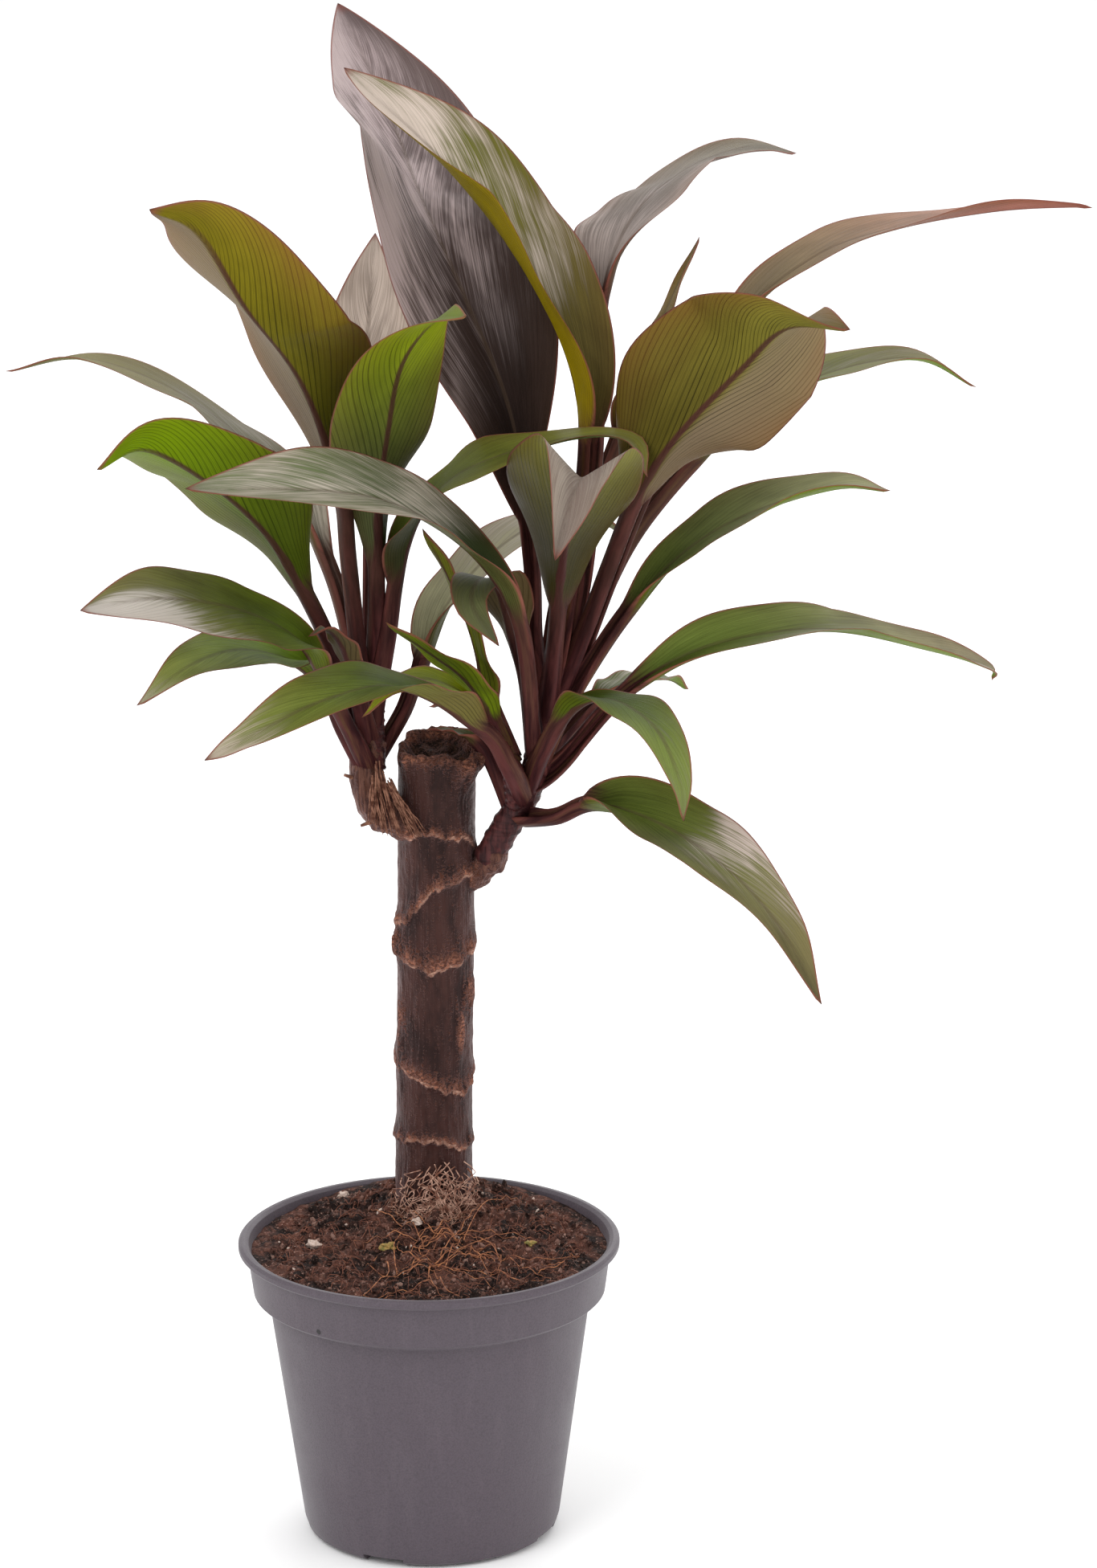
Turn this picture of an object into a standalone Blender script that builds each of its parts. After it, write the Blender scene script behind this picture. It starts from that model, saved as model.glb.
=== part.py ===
"""Potted ti plant: a 12 cm nursery pot, its soil, one cut cane and two leafy side shoots.

Sizes and places below are in millimetres, with +Z up and the origin on the table under the
middle of the pot. The viewer's side is -Y, and "left" and "right" are as seen from there.
"""

import math
from typing import NamedTuple

import bmesh
import bpy
import numpy as np
from mathutils import Matrix, Vector, noise

MM = 0.001
CLEARANCE = 0.3
WELD_DISTANCE = 0.01
SHARP_ANGLE = 40.0

# Pot: a thin turned shell with a collar, a lip, a ring of feet and drain holes.
POT_SIDES = 40
RIM_RADIUS = 60.0
RIM_HEIGHT = 96.2
LIP_HEIGHT = 3.0
LIP_OVERHANG = 2.8
LIP_ROUND = 0.8
COLLAR_FOOT_RADIUS = 55.4
COLLAR_FOOT_HEIGHT = 78.4
BODY_TOP_RADIUS = 50.6
BODY_FOOT_RADIUS = 40.5
HEEL_HEIGHT = 5.0
HEEL_ROUND = 1.1
FOOT_RADIUS = 36.8
FOOT_WIDTH = 5.0
FOOT_HEIGHT = 2.0
FLOOR_THICKNESS = 1.4
WALL = 1.3
CENTRE_PAD_RADIUS = 9.0
FOOT_SLOPE = 0.4
FOOT_GAPS = 8
FOOT_GAP_WIDTH = 11.0
FOOT_GAP_REACH = 14.0
DRAIN_HOLES = 8
DRAIN_SIDES = 12
DRAIN_RADIUS = 3.5
DRAIN_CIRCLE = 22.0
CUTTER_MARGIN = 2.0

# Soil: fills the pot to just under the rim, and is heaped up round the cane.
SOIL_SIDES = 36
SOIL_EDGE_HEIGHT = 92.6
SOIL_HEAP = 7.0
SOIL_HEAP_SPREAD = 26.0
SOIL_ROUGHNESS = 1.3
SOIL_LUMP_SIZES = (7.0, 3.5)
SOIL_RINGS = (50.0, 43.0, 36.0, 29.0, 22.0, 15.0, 8.0, 0.0)

# Cane: a thick cut stem that stands behind the middle of the pot and leans a little right.
CANE_SIDES = 18
CANE_RADIUS = 11.8
CANE_BOTTOM = (-0.5, 28.0, 45.0)
CANE_TOP = (3.0, 28.0, 246.5)
CANE_RING_SPACING = 5.0
BARE_FOOT = 5.5
CUT_EDGE = 1.2
CUT_WALL = 3.2
CUT_DEPTH = 3.0
BARK_ROUGHNESS = 0.35
BARK_GRAIN_LENGTH = 9.0
SCAR_WIDTH = 2.6


class Scar(NamedTuple):
    """A raised ring left by an old leaf: its height, how far it drops, and the side it drops to."""

    height: float
    drop: float
    low_side: float
    rise: float


class Knot(NamedTuple):
    """A lump on the bark: its height, its compass side in degrees, its size and its rise."""

    height: float
    side: float
    size: float
    rise: float


SCARS = (
    Scar(114.0, 2.5, 250, 0.9),
    Scar(137.0, 4.0, -20, 1.0),
    Scar(174.0, 3.0, 270, 1.1),
    Scar(198.0, 6.0, 200, 0.9),
    Scar(220.0, 2.0, -60, 0.8),
)
KNOTS = (
    Knot(240.0, -15, 6.0, 2.6),
    Knot(243.0, 200, 5.0, 1.2),
    Knot(162.0, -30, 6.5, 1.2),
    Knot(154.0, 200, 6.5, 1.0),
    Knot(182.0, 205, 4.0, 1.3),
    Knot(118.0, 60, 7.0, 1.0),
)

# Shoots: the places run up the middle of each stem, from inside what it grew out of.
KNUCKLE_SIDES = 12
KNUCKLE_EXTRA = (2.0, 0.6)
STEM_SIDES = 10
STEM_STEP_LENGTH = 7.0


class Shoot(NamedTuple):
    """A leafy stem: its middle line, its radii at both ends, and how far the bark knuckle goes."""

    line: tuple
    foot_radius: float
    tip_radius: float
    knuckle: float


SHOOTS = {
    "left": Shoot(((0, 27, 214), (-10, 23, 222), (-15.5, 22, 233), (-17, 25, 248), (-16, 30, 262)), 5.4, 3.6, 25),
    "right": Shoot(((8, 27, 200), (19, 25, 206), (26, 21, 217), (31, 16, 233), (36, 12, 250), (39, 11, 266)),
                   6.2, 3.8, 18),
    "bud": Shoot(((31, 16, 233), (27, 5, 247), (24, -1, 258)), 3.4, 2.2, 0),
}

# Leaves: a channelled stalk clasps the stem, then opens into a pointed blade.
CLASP_HALF_WIDTH = 5.0
STALK_HALF_WIDTH = 3.0
TIP_HALF_WIDTH = 0.6
CLASP_THICKNESS = 2.2
STALK_THICKNESS = 1.8
BLADE_THICKNESS = 0.75
MIDRIB_EXTRA = 0.7
STALK_FOLD = 58.0
BLADE_OPEN_BY = 0.35
BLADE_THIN_BY = 0.25
BLADE_POINTEDNESS = 0.95
WAVES_PER_BLADE = 2.5
LEFT_WAVE_SHIFT = 2.4
RIGHT_WAVE_SHIFT = 0.9
CLASP_ROOT = 1.0
STALK_STEPS = 3
BLADE_STEP_LENGTH = 19.0
FEWEST_BLADE_STEPS = 4
MOST_BLADE_STEPS = 11
BLADE_COLUMNS = (-1.0, -0.5, 0.0, 0.5, 1.0)
CLASP_STEP_LENGTH = 9.0
CLASP_COLUMNS = (-1.0, 0.0, 1.0)
LINE_DETAIL = 16


class Leaf(NamedTuple):
    """One leaf. `at` is how far up its shoot it grows, and `line` its midrib from there on.

    `clasp` and `stalk` are lengths along the midrib, and the blade takes the rest. `width` is
    the blade's full width, `widest` its place as a share of the blade, `roll` how far the leaf
    is turned about its midrib at the stem, mid blade and tip, in degrees, and `fold` how far
    each half is raised from flat at mid blade. `wave` is the height of the ripple in the margin.
    """

    at: float
    line: tuple
    clasp: float
    stalk: float
    width: float
    widest: float = 0.42
    roll: tuple = (0, 0, 0)
    fold: float = 12.0
    wave: float = 0.8


LEFT_LEAVES = (
    # 1: low, arching left, with the tip hanging
    Leaf(31, ((-25, 17, 257), (-33, 9, 277), (-52, -18, 292), (-68, -42, 294), (-84, -60, 286)),
         26, 16, 27, 0.44, (-14, -20, 0), 5),
    # 2: low, arching further left
    Leaf(34, ((-25, 5, 265), (-34, -15, 291), (-51, -39, 309), (-75, -68, 321), (-98, -90, 323)),
         24, 28, 35, 0.54, (-44, -35, -35), 0),
    # 3: behind the shoots, lying to the right
    Leaf(36, ((-7, 34, 257), (-3, 38, 266), (8, 48, 290), (28, 62, 307), (49, 76, 311), (68, 88, 299)),
         14, 24, 26),
    # 4: left, half way up, bowed
    Leaf(38, ((-26, 15, 278), (-36, 0, 306), (-47, -16, 329), (-62, -34, 348), (-80, -58, 364), (-93, -76, 362)),
         36, 32, 44, 0.45, (60, 20, 55), 22),
    # 5: long and thin, far out to the left
    Leaf(36, ((-23, 36, 280), (-31, 44, 306), (-46, 72, 325), (-74, 106, 342), (-108, 116, 354), (-135, 116, 350)),
         36, 32, 32, 0.48, (-28, 20, 0), 4),
    # 6: a small curled leaf at the heart of the shoot
    Leaf(40, ((-22, 8, 278), (-25, -4, 291), (-29, -12, 297), (-34, -18, 296)), 27, 4, 12),
    # 7: broad, folded along its midrib, leaning to the upper left
    Leaf(40, ((-22, 14, 310), (-24, 0, 337), (-34, -32, 378), (-49, -64, 408), (-61, -90, 435), (-74, -106, 445)),
         36, 59, 54, 0.5, (85, -14, 40), 28),
    # 8: upright behind, leaning back
    Leaf(44, ((-16, 50, 318), (-17, 78, 342), (-18, 110, 361), (-17, 129, 378), (-16, 142, 389)),
         31, 39, 38, 0.44, (-5, -8, 0), 17),
    # 9: over to the right, behind the right shoot's front leaves
    Leaf(44, ((-11, 20, 284), (-5, 6, 318), (10, -14, 344), (38, -19, 356), (63, -21, 358), (69, -31, 348)),
         49, 9, 37, 0.5, (40, 20, -20), 5),
    # 10: broad and upright, leaning to the front
    Leaf(47, ((-14, 20, 287), (-13, 2, 330), (-9, -24, 362), (-4, -52, 388), (6, -78, 406), (16, -100, 412)),
         47, 31, 40, 0.56, (0, 5, 20), 10),
)

RIGHT_LEAVES = (
    # 1: lowest, hanging to the right
    Leaf(38, ((41, 4, 232), (53, -6, 239), (72, -24, 238), (92, -45, 230), (108, -62, 216), (120, -76, 196)),
         14, 18, 34, 0.42, (40, 0, -10), 12),
    # 2: arching left, in front of the cane
    Leaf(44, ((26, -5, 251), (18, -15, 266), (-6, -48, 288), (-27, -77, 292), (-51, -84, 282), (-63, -82, 275)),
         40, 8, 33, 0.47, (13, -6, -16), 14),
    # 3: short, bent down to the right
    Leaf(48, ((38, -4, 257), (46, -11, 271), (58, -27, 278), (71, -50, 275), (78, -60, 261), (79, -64, 250)),
         32, 6, 25, 0.5, (-8, -4, -20), 5),
    # 4: long, arching right
    Leaf(52, ((43, 12, 248), (64, 19, 269), (91, 27, 281), (126, 37, 283), (159, 58, 271), (180, 79, 259),
              (181, 86, 253)), 20, 23, 28, 0.47, (72, 0, 27), 18),
    # 5: small, behind leaf 4
    Leaf(56, ((53, 42, 257), (66, 64, 259), (77, 84, 255), (84, 96, 248)), 18, 20, 18),
    # 6: arching left at the top of the shoot, over the left shoot
    Leaf(56, ((34, -2, 261), (30, -22, 302), (17, -37, 326), (-3, -57, 345), (-25, -76, 355), (-66, -97, 361)),
         30, 38, 36, 0.58, (-60, -32, -30), 20),
    # 7: right, half way up
    Leaf(58, ((47, 8, 271), (64, 16, 295), (82, 12, 315), (102, 7, 328), (127, -4, 338), (143, -13, 339)),
         41, 17, 33, 0.58, (90, 14, -12), 13),
    # 8: dark, bent down at the heart of the shoot
    Leaf(58, ((32, 10, 274), (27, 0, 295), (23, -9, 310), (18, -17, 313), (16, -27, 308), (24, -31, 296)),
         36, 5, 22),
    # 9: behind, far out to the right
    Leaf(62, ((52, 28, 287), (69, 45, 316), (100, 71, 343), (128, 94, 352), (157, 107, 354), (177, 113, 343)),
         37, 70, 32, 0.4, (-28, -3, 13), 12),
    # 10: the longest, highest on the right
    Leaf(64, ((55, 24, 295), (69, 39, 326), (93, 61, 370), (121, 72, 393), (148, 83, 401), (180, 91, 405),
              (205, 97, 405), (212, 98, 404)), 50, 90, 30, 0.54, (84, -6, -23), 12),
    # 11: narrow, upright behind
    Leaf(66, ((43, 34, 296), (60, 56, 336), (74, 83, 368), (88, 112, 393)), 28, 76, 19, 0.42, (-26, -43, -45), 7),
    # 12: upright behind, bending right
    Leaf(68, ((49, 24, 298), (54, 35, 341), (56, 54, 383), (66, 76, 406), (84, 102, 417), (105, 129, 419),
              (120, 143, 414)), 46, 91, 40, 0.42, (60, -26, 25), 2),
    # 13: broad, leaning to the front right
    Leaf(70, ((51, 4, 293), (58, 0, 313), (67, -12, 339), (78, -20, 358), (97, -28, 380), (110, -48, 397),
              (128, -66, 400)), 42, 54, 64, 0.38, (-26, -60, 10), 30),
    # 14: in the middle, folded, bent over towards the front
    Leaf(70, ((41, -4, 290), (43, -20, 316), (46, -50, 341), (49, -82, 360), (46, -102, 358), (41, -114, 343)),
         34, 16, 54, 0.4, (-8, -6, -10), 38),
    # 15: tall and folded, leaning left
    Leaf(74, ((45, 6, 292), (49, 0, 329), (50, 4, 364), (36, 16, 397), (12, 38, 427), (-23, 66, 456)),
         38, 54, 51, 0.49, (0, 20, -20), 29),
    # 16: the tallest and broadest
    Leaf(74, ((35, 18, 284), (34, 22, 311), (28, 27, 354), (14, 38, 389), (1, 64, 414), (-11, 122, 433),
              (-28, 178, 458)), 28, 48, 63, 0.5, (-74, 26, -12), 21),
    # 17 and 18: two short old leaves behind the top of the cane
    Leaf(42, ((19, 33, 251), (8, 45, 257), (1, 51, 255)), 24, 3, 10),
    Leaf(36, ((19, 21, 249), (9, 26, 254), (1, 32, 253)), 26, 3, 7),
)

BUD_LEAVES = (
    # 1: arching left
    Leaf(14, ((18, 5, 266), (4, -3, 278), (-8, -14, 279), (-18, -20, 271)),
         25, 2, 14, 0.43, (-19, -26, -4), 4),
    # 2: leaning left
    Leaf(18, ((21, -5, 267), (14, -17, 282), (4, -24, 292), (-10, -36, 305)), 20, 2, 15, 0.43, (14, 9, 5), 4),
    # 3: upright
    Leaf(22, ((20, 0, 273), (16, -7, 293), (9, -4, 311), (1, -12, 328)), 19, 2, 17, 0.45, (0, -16, 20), 6),
)
LEAVES = {"left": LEFT_LEAVES, "right": RIGHT_LEAVES, "bud": BUD_LEAVES}


def clear_scene():
    for old in list(bpy.data.objects):
        bpy.data.objects.remove(old, do_unlink=True)


def new_material(name, colour, roughness, metallic=0.0):
    made = bpy.data.materials.new(name)
    made.use_nodes = True
    shader = made.node_tree.nodes["Principled BSDF"]
    shader.inputs["Base Color"].default_value = (*colour, 1.0)
    shader.inputs["Roughness"].default_value = roughness
    shader.inputs["Metallic"].default_value = metallic
    return made


def smoothstep(value, low, high):
    share = np.clip((value - low) / (high - low), 0.0, 1.0)
    return share * share * (3.0 - 2.0 * share)


def add_object(name, bm, material=None, parent=None):
    """Turns a bmesh in millimetres into a smooth-shaded object in metres."""
    bmesh.ops.scale(bm, vec=(MM, MM, MM), verts=bm.verts)
    mesh = bpy.data.meshes.new(name)
    bm.to_mesh(mesh)
    bm.free()
    mesh.shade_smooth()
    mesh.set_sharp_from_angle(angle=math.radians(SHARP_ANGLE))
    if material:
        mesh.materials.append(material)
    made = bpy.data.objects.new(name, mesh)
    made.parent = parent
    bpy.context.scene.collection.objects.link(made)
    return made


def add_cutter(name, bm):
    cutter = add_object(name, bm)
    cutter.hide_render = True
    cutter.display_type = "WIRE"
    return cutter


def cut_with(body, cutter):
    cut = body.modifiers.new(cutter.name, "BOOLEAN")
    cut.operation = "DIFFERENCE"
    cut.solver = "EXACT"
    cut.object = cutter


def fuse(pieces):
    """Joins overlapping closed pieces into the first of them, by one Boolean union."""
    body, *others = pieces
    group = bpy.data.collections.new(body.name + " pieces")
    for piece in others:
        group.objects.link(piece)
    union = body.modifiers.new("union", "BOOLEAN")
    union.operation = "UNION"
    union.solver = "EXACT"
    union.operand_type = "COLLECTION"
    union.collection = group
    graph = bpy.context.evaluated_depsgraph_get()
    joined = bpy.data.meshes.new_from_object(body.evaluated_get(graph))
    body.modifiers.clear()
    keep_largest_shell(joined)
    body.data = joined
    for piece in others:
        bpy.data.objects.remove(piece, do_unlink=True)
    bpy.data.collections.remove(group)
    return body


def keep_largest_shell(mesh):
    """Fills the hollows that fusing sealed and drops loose scraps."""
    bm = bmesh.new()
    bm.from_mesh(mesh)
    shells = []
    waiting = set(bm.verts)
    while waiting:
        shell = []
        front = [waiting.pop()]
        while front:
            vert = front.pop()
            shell.append(vert)
            for edge in vert.link_edges:
                other = edge.other_vert(vert)
                if other in waiting:
                    waiting.remove(other)
                    front.append(other)
        shells.append(shell)
    shells.remove(max(shells, key=len))
    for shell in shells:
        bmesh.ops.delete(bm, geom=shell, context="VERTS")
    bm.to_mesh(mesh)
    bm.free()


def turned(profile, sides):
    """A solid turned about Z from (radius, height) points that start and end on the axis."""
    bm = bmesh.new()
    points = [bm.verts.new((radius, 0, height)) for radius, height in profile]
    edges = [bm.edges.new(pair) for pair in zip(points, points[1:])]
    bmesh.ops.spin(bm, geom=points + edges, cent=(0, 0, 0), axis=(0, 0, 1), angle=math.tau,
                   steps=sides, use_merge=True)
    bmesh.ops.remove_doubles(bm, verts=bm.verts, dist=WELD_DISTANCE)
    bmesh.ops.recalc_face_normals(bm, faces=bm.faces)
    return bm


def skin_rings(rings):
    """Closes a stack of rings, each a list of points that runs anticlockwise seen from the last."""
    bm = bmesh.new()
    loops = [[bm.verts.new(point) for point in ring] for ring in rings]
    count = len(loops[0])
    for low, high in zip(loops, loops[1:]):
        for side in range(count):
            after = (side + 1) % count
            bm.faces.new((low[side], low[after], high[after], high[side]))
    bm.faces.new(reversed(loops[0]))
    bm.faces.new(loops[-1])
    return bm


def pot_profile():
    """The pot's section, from the middle of its underside, up the outside and down the inside."""
    floor_top = FOOT_HEIGHT + FLOOR_THICKNESS
    foot_inside = FOOT_RADIUS - FOOT_WIDTH
    lip_inside = RIM_RADIUS - LIP_OVERHANG
    lip_foot = RIM_HEIGHT - LIP_HEIGHT
    underside = (
        (0, 0),
        (CENTRE_PAD_RADIUS, 0),
        (CENTRE_PAD_RADIUS + FOOT_SLOPE, FOOT_HEIGHT),
        (foot_inside, FOOT_HEIGHT),
        (foot_inside + FOOT_SLOPE, 0),
        (FOOT_RADIUS, 0),
        (BODY_FOOT_RADIUS - HEEL_ROUND, HEEL_HEIGHT / 3),
    )
    outside = (
        (BODY_FOOT_RADIUS, HEEL_HEIGHT),
        (BODY_TOP_RADIUS, COLLAR_FOOT_HEIGHT - 2 * LIP_ROUND),
        (BODY_TOP_RADIUS + WALL, COLLAR_FOOT_HEIGHT),
        (COLLAR_FOOT_RADIUS - LIP_ROUND, COLLAR_FOOT_HEIGHT + LIP_ROUND / 2),
        (COLLAR_FOOT_RADIUS, COLLAR_FOOT_HEIGHT + 1.5 * LIP_ROUND),
        (lip_inside, lip_foot - LIP_ROUND / 4),
        (RIM_RADIUS - LIP_ROUND, lip_foot),
        (RIM_RADIUS, lip_foot + LIP_ROUND),
        (RIM_RADIUS, RIM_HEIGHT - LIP_ROUND),
        (RIM_RADIUS - LIP_ROUND, RIM_HEIGHT),
    )
    inside = (
        (lip_inside + LIP_ROUND, RIM_HEIGHT),
        (lip_inside - LIP_ROUND / 2, RIM_HEIGHT - LIP_ROUND),
        (lip_inside - WALL, SOIL_EDGE_HEIGHT),
        (COLLAR_FOOT_RADIUS - WALL, COLLAR_FOOT_HEIGHT + 2 * LIP_ROUND),
        (BODY_TOP_RADIUS - WALL, COLLAR_FOOT_HEIGHT - LIP_ROUND),
        (BODY_FOOT_RADIUS - WALL, HEEL_HEIGHT + HEEL_ROUND),
        (BODY_FOOT_RADIUS - 3 * WALL, floor_top),
        (0, floor_top),
    )
    return underside + outside + inside


def foot_cutters():
    """Blocks that part the foot ring into feet, and pins for the drain holes."""
    bm = bmesh.new()
    for index in range(FOOT_GAPS):
        turn = Matrix.Rotation(math.tau * (index + 0.5) / FOOT_GAPS, 3, "Z")
        block = bmesh.ops.create_cube(bm, size=1.0)["verts"]
        bmesh.ops.scale(bm, vec=(FOOT_GAP_REACH, FOOT_GAP_WIDTH, 2 * FOOT_HEIGHT - FOOT_SLOPE), verts=block)
        bmesh.ops.translate(bm, vec=(FOOT_RADIUS, 0, 0), verts=block)
        bmesh.ops.rotate(bm, cent=(0, 0, 0), matrix=turn, verts=block)
    for index in range(DRAIN_HOLES):
        angle = math.tau * index / DRAIN_HOLES
        depth = FLOOR_THICKNESS + 2 * CUTTER_MARGIN
        pin = bmesh.ops.create_cone(bm, cap_ends=True, segments=DRAIN_SIDES, radius1=DRAIN_RADIUS,
                                    radius2=DRAIN_RADIUS, depth=depth)["verts"]
        height = FOOT_HEIGHT + FLOOR_THICKNESS / 2
        place = (DRAIN_CIRCLE * math.cos(angle), DRAIN_CIRCLE * math.sin(angle), height)
        bmesh.ops.translate(bm, vec=place, verts=pin)
    return bm


def build_pot(plant):
    plastic = new_material("pot_plastic", (0.155, 0.14, 0.165), 0.55)
    pot = add_object("pot", turned(pot_profile(), POT_SIDES), plastic, plant)
    cut_with(pot, add_cutter("feet_and_drain_holes", foot_cutters()))


def cane_middle(height):
    """The cane's middle at a height, on its straight, slightly leaning line."""
    low, high = np.array(CANE_BOTTOM), np.array(CANE_TOP)
    return low + (high - low) * (height - low[2]) / (high[2] - low[2])


def soil_height(x, y):
    middle = cane_middle(SOIL_EDGE_HEIGHT)
    away = math.hypot(x - middle[0], y - middle[1])
    heap = SOIL_HEAP * math.exp(-((away / SOIL_HEAP_SPREAD) ** 2))
    large, small = SOIL_LUMP_SIZES
    lumps = noise.noise(Vector((x, y, 0)) / large) + 0.5 * noise.noise(Vector((x, y, RIM_RADIUS)) / small)
    return SOIL_EDGE_HEIGHT + heap + SOIL_ROUGHNESS * lumps


def soil_profile():
    """The soil's section, which follows the pot's inside with a clearance all round."""
    wall = WALL + 1.5 * CLEARANCE
    floor = FOOT_HEIGHT + FLOOR_THICKNESS + CLEARANCE
    edge = RIM_RADIUS - LIP_OVERHANG - wall - 2 * CLEARANCE
    sides = [
        (0, floor),
        (BODY_FOOT_RADIUS - 3 * wall, floor),
        (BODY_FOOT_RADIUS - wall, HEEL_HEIGHT + HEEL_ROUND + CLEARANCE),
        (BODY_TOP_RADIUS - wall, COLLAR_FOOT_HEIGHT - LIP_ROUND + CLEARANCE),
        (COLLAR_FOOT_RADIUS - wall, COLLAR_FOOT_HEIGHT + 3 * LIP_ROUND),
        (edge, SOIL_EDGE_HEIGHT - 2 * SOIL_ROUGHNESS),
    ]
    return sides + [(radius, SOIL_EDGE_HEIGHT) for radius in (edge, *SOIL_RINGS)]


def build_soil(plant):
    bm = turned(soil_profile(), SOIL_SIDES)
    for vert in bm.verts:
        if vert.co.z > SOIL_EDGE_HEIGHT - WELD_DISTANCE:
            vert.co.z = soil_height(vert.co.x, vert.co.y)
    bmesh.ops.triangulate(bm, faces=bm.faces)
    soil = add_object("soil", bm, new_material("potting_soil", (0.055, 0.022, 0.014), 0.95), plant)
    cut_with(soil, add_cutter("cane_hole", cane_hole()))


def circle(middle, radius, sides):
    angles = [math.tau * side / sides for side in range(sides)]
    return [(middle[0] + radius * math.cos(a), middle[1] + radius * math.sin(a), middle[2]) for a in angles]


def cane_hole():
    """A plain round hole that the buried end of the cane stands in."""
    radius = CANE_RADIUS + CLEARANCE
    bottom = cane_middle(CANE_BOTTOM[2] - CLEARANCE)
    top = cane_middle(SOIL_EDGE_HEIGHT + SOIL_HEAP + SOIL_HEAP_SPREAD)
    return skin_rings([circle(bottom, radius, CANE_SIDES), circle(top, radius, CANE_SIDES)])


def bark_rise(height, angle):
    """How far the bark stands out at a height and compass angle: rings, knots and grain."""
    rise = 0.0
    for scar in SCARS:
        ring = scar.height - scar.drop * math.cos(angle - math.radians(scar.low_side))
        rise += scar.rise * math.exp(-(((height - ring) / SCAR_WIDTH) ** 2))
    for knot in KNOTS:
        round_way = math.remainder(angle - math.radians(knot.side), math.tau) * CANE_RADIUS
        away = math.hypot(round_way, height - knot.height)
        rise += knot.rise * math.exp(-((away / knot.size) ** 2))
    place = Vector((math.cos(angle) * 2, math.sin(angle) * 2, height / BARK_GRAIN_LENGTH))
    return rise + BARK_ROUGHNESS * noise.noise(place)


def cane_ring(height, inset=0.0, drop=0.0):
    middle = cane_middle(height)
    ring = []
    for side in range(CANE_SIDES):
        angle = math.tau * side / CANE_SIDES
        radius = CANE_RADIUS + bark_rise(height, angle) - inset
        ring.append((middle[0] + radius * math.cos(angle), middle[1] + radius * math.sin(angle), height - drop))
    return ring


def cane_trunk():
    """The cane from its buried end to its hollow cut top."""
    buried = CANE_RADIUS - CLEARANCE / 3
    bark_foot = SOIL_EDGE_HEIGHT + SOIL_HEAP + BARE_FOOT
    steps = round((CANE_TOP[2] - bark_foot) / CANE_RING_SPACING)
    ends = (CANE_BOTTOM[2], bark_foot - CANE_RING_SPACING / 2)
    rings = [circle(cane_middle(height), buried, CANE_SIDES) for height in ends]
    rings += [cane_ring(bark_foot + step * CANE_RING_SPACING) for step in range(steps)]
    top = CANE_TOP[2]
    rings += [cane_ring(top - CUT_EDGE), cane_ring(top, CUT_EDGE), cane_ring(top, CUT_WALL)]
    rings += [cane_ring(top, 1.5 * CUT_WALL, 0.8 * CUT_DEPTH), cane_ring(top, 3 * CUT_WALL, CUT_DEPTH)]
    return skin_rings(rings)


def smooth_line(points):
    """Points close together on a smooth curve through the given ones, and each one's distance along it."""
    given = np.array(points, float)
    ends = (2 * given[0] - given[1], 2 * given[-1] - given[-2])
    knots = np.vstack((ends[0], given, ends[1]))
    share = np.linspace(0, 1, LINE_DETAIL, endpoint=False)[:, None]
    dense = []
    for before, start, end, after in zip(knots, knots[1:], knots[2:], knots[3:]):
        bend = 2 * before - 5 * start + 4 * end - after
        twist = 3 * start - before - 3 * end + after
        dense.append(start + 0.5 * ((end - before) * share + bend * share**2 + twist * share**3))
    dense = np.vstack((*dense, given[-1:]))
    steps = np.linalg.norm(np.diff(dense, axis=0), axis=1)
    return dense, np.concatenate(([0.0], np.cumsum(steps)))


def points_along(line, lengths):
    dense, travelled = line
    return np.column_stack([np.interp(lengths, travelled, dense[:, axis]) for axis in range(3)])


def directions_along(line, lengths):
    step = 1.0
    end = line[1][-1]
    ahead = points_along(line, np.minimum(lengths + step, end))
    behind = points_along(line, np.maximum(lengths - step, 0.0))
    return unit(ahead - behind)


def unit(vectors):
    return vectors / np.linalg.norm(vectors, axis=-1, keepdims=True)


def stem_tube(line, start, end, radii, sides):
    """A round stem along a line from one length to another, tapering between two radii."""
    lengths = np.linspace(start, end, max(3, round((end - start) / STEM_STEP_LENGTH) + 1))
    middles = points_along(line, lengths)
    along = directions_along(line, lengths)
    across = unit(np.cross(along, (0.0, 1.0, 0.0)))
    over = np.cross(along, across)
    widths = np.interp(lengths, (start, end), radii)
    rings = []
    for middle, side, front, radius in zip(middles, across, over, widths):
        angles = [math.tau * index / sides for index in range(sides)]
        rings.append([middle + radius * (side * math.cos(a) + front * math.sin(a)) for a in angles])
    return skin_rings(rings)


def leaf_line(shoot, leaf):
    """The leaf's whole midrib, which starts inside the stem it grows from."""
    root = points_along(smooth_line(SHOOTS[shoot].line), np.array([leaf.at]))[0]
    return smooth_line([tuple(root), *leaf.line])


def leaf_frames(line, leaf, lengths):
    """For each length: the midrib's place, its direction, the way across, and the upper side's way."""
    places = points_along(line, lengths)
    along = directions_along(line, lengths)
    lean = line[0][-1] - line[0][0]
    level = unit(np.array((-lean[1], lean[0], 0.0)))
    flat = unit(level - along * (along @ level)[:, None])
    upper = np.cross(along, flat)
    blade_start = leaf.clasp + leaf.stalk
    blade_middle = (blade_start + line[1][-1]) / 2
    turn = np.radians(np.interp(lengths, (0.0, blade_middle, line[1][-1]), leaf.roll))[:, None]
    across = flat * np.cos(turn) + upper * np.sin(turn)
    return places, along, across, np.cross(along, across)


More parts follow.
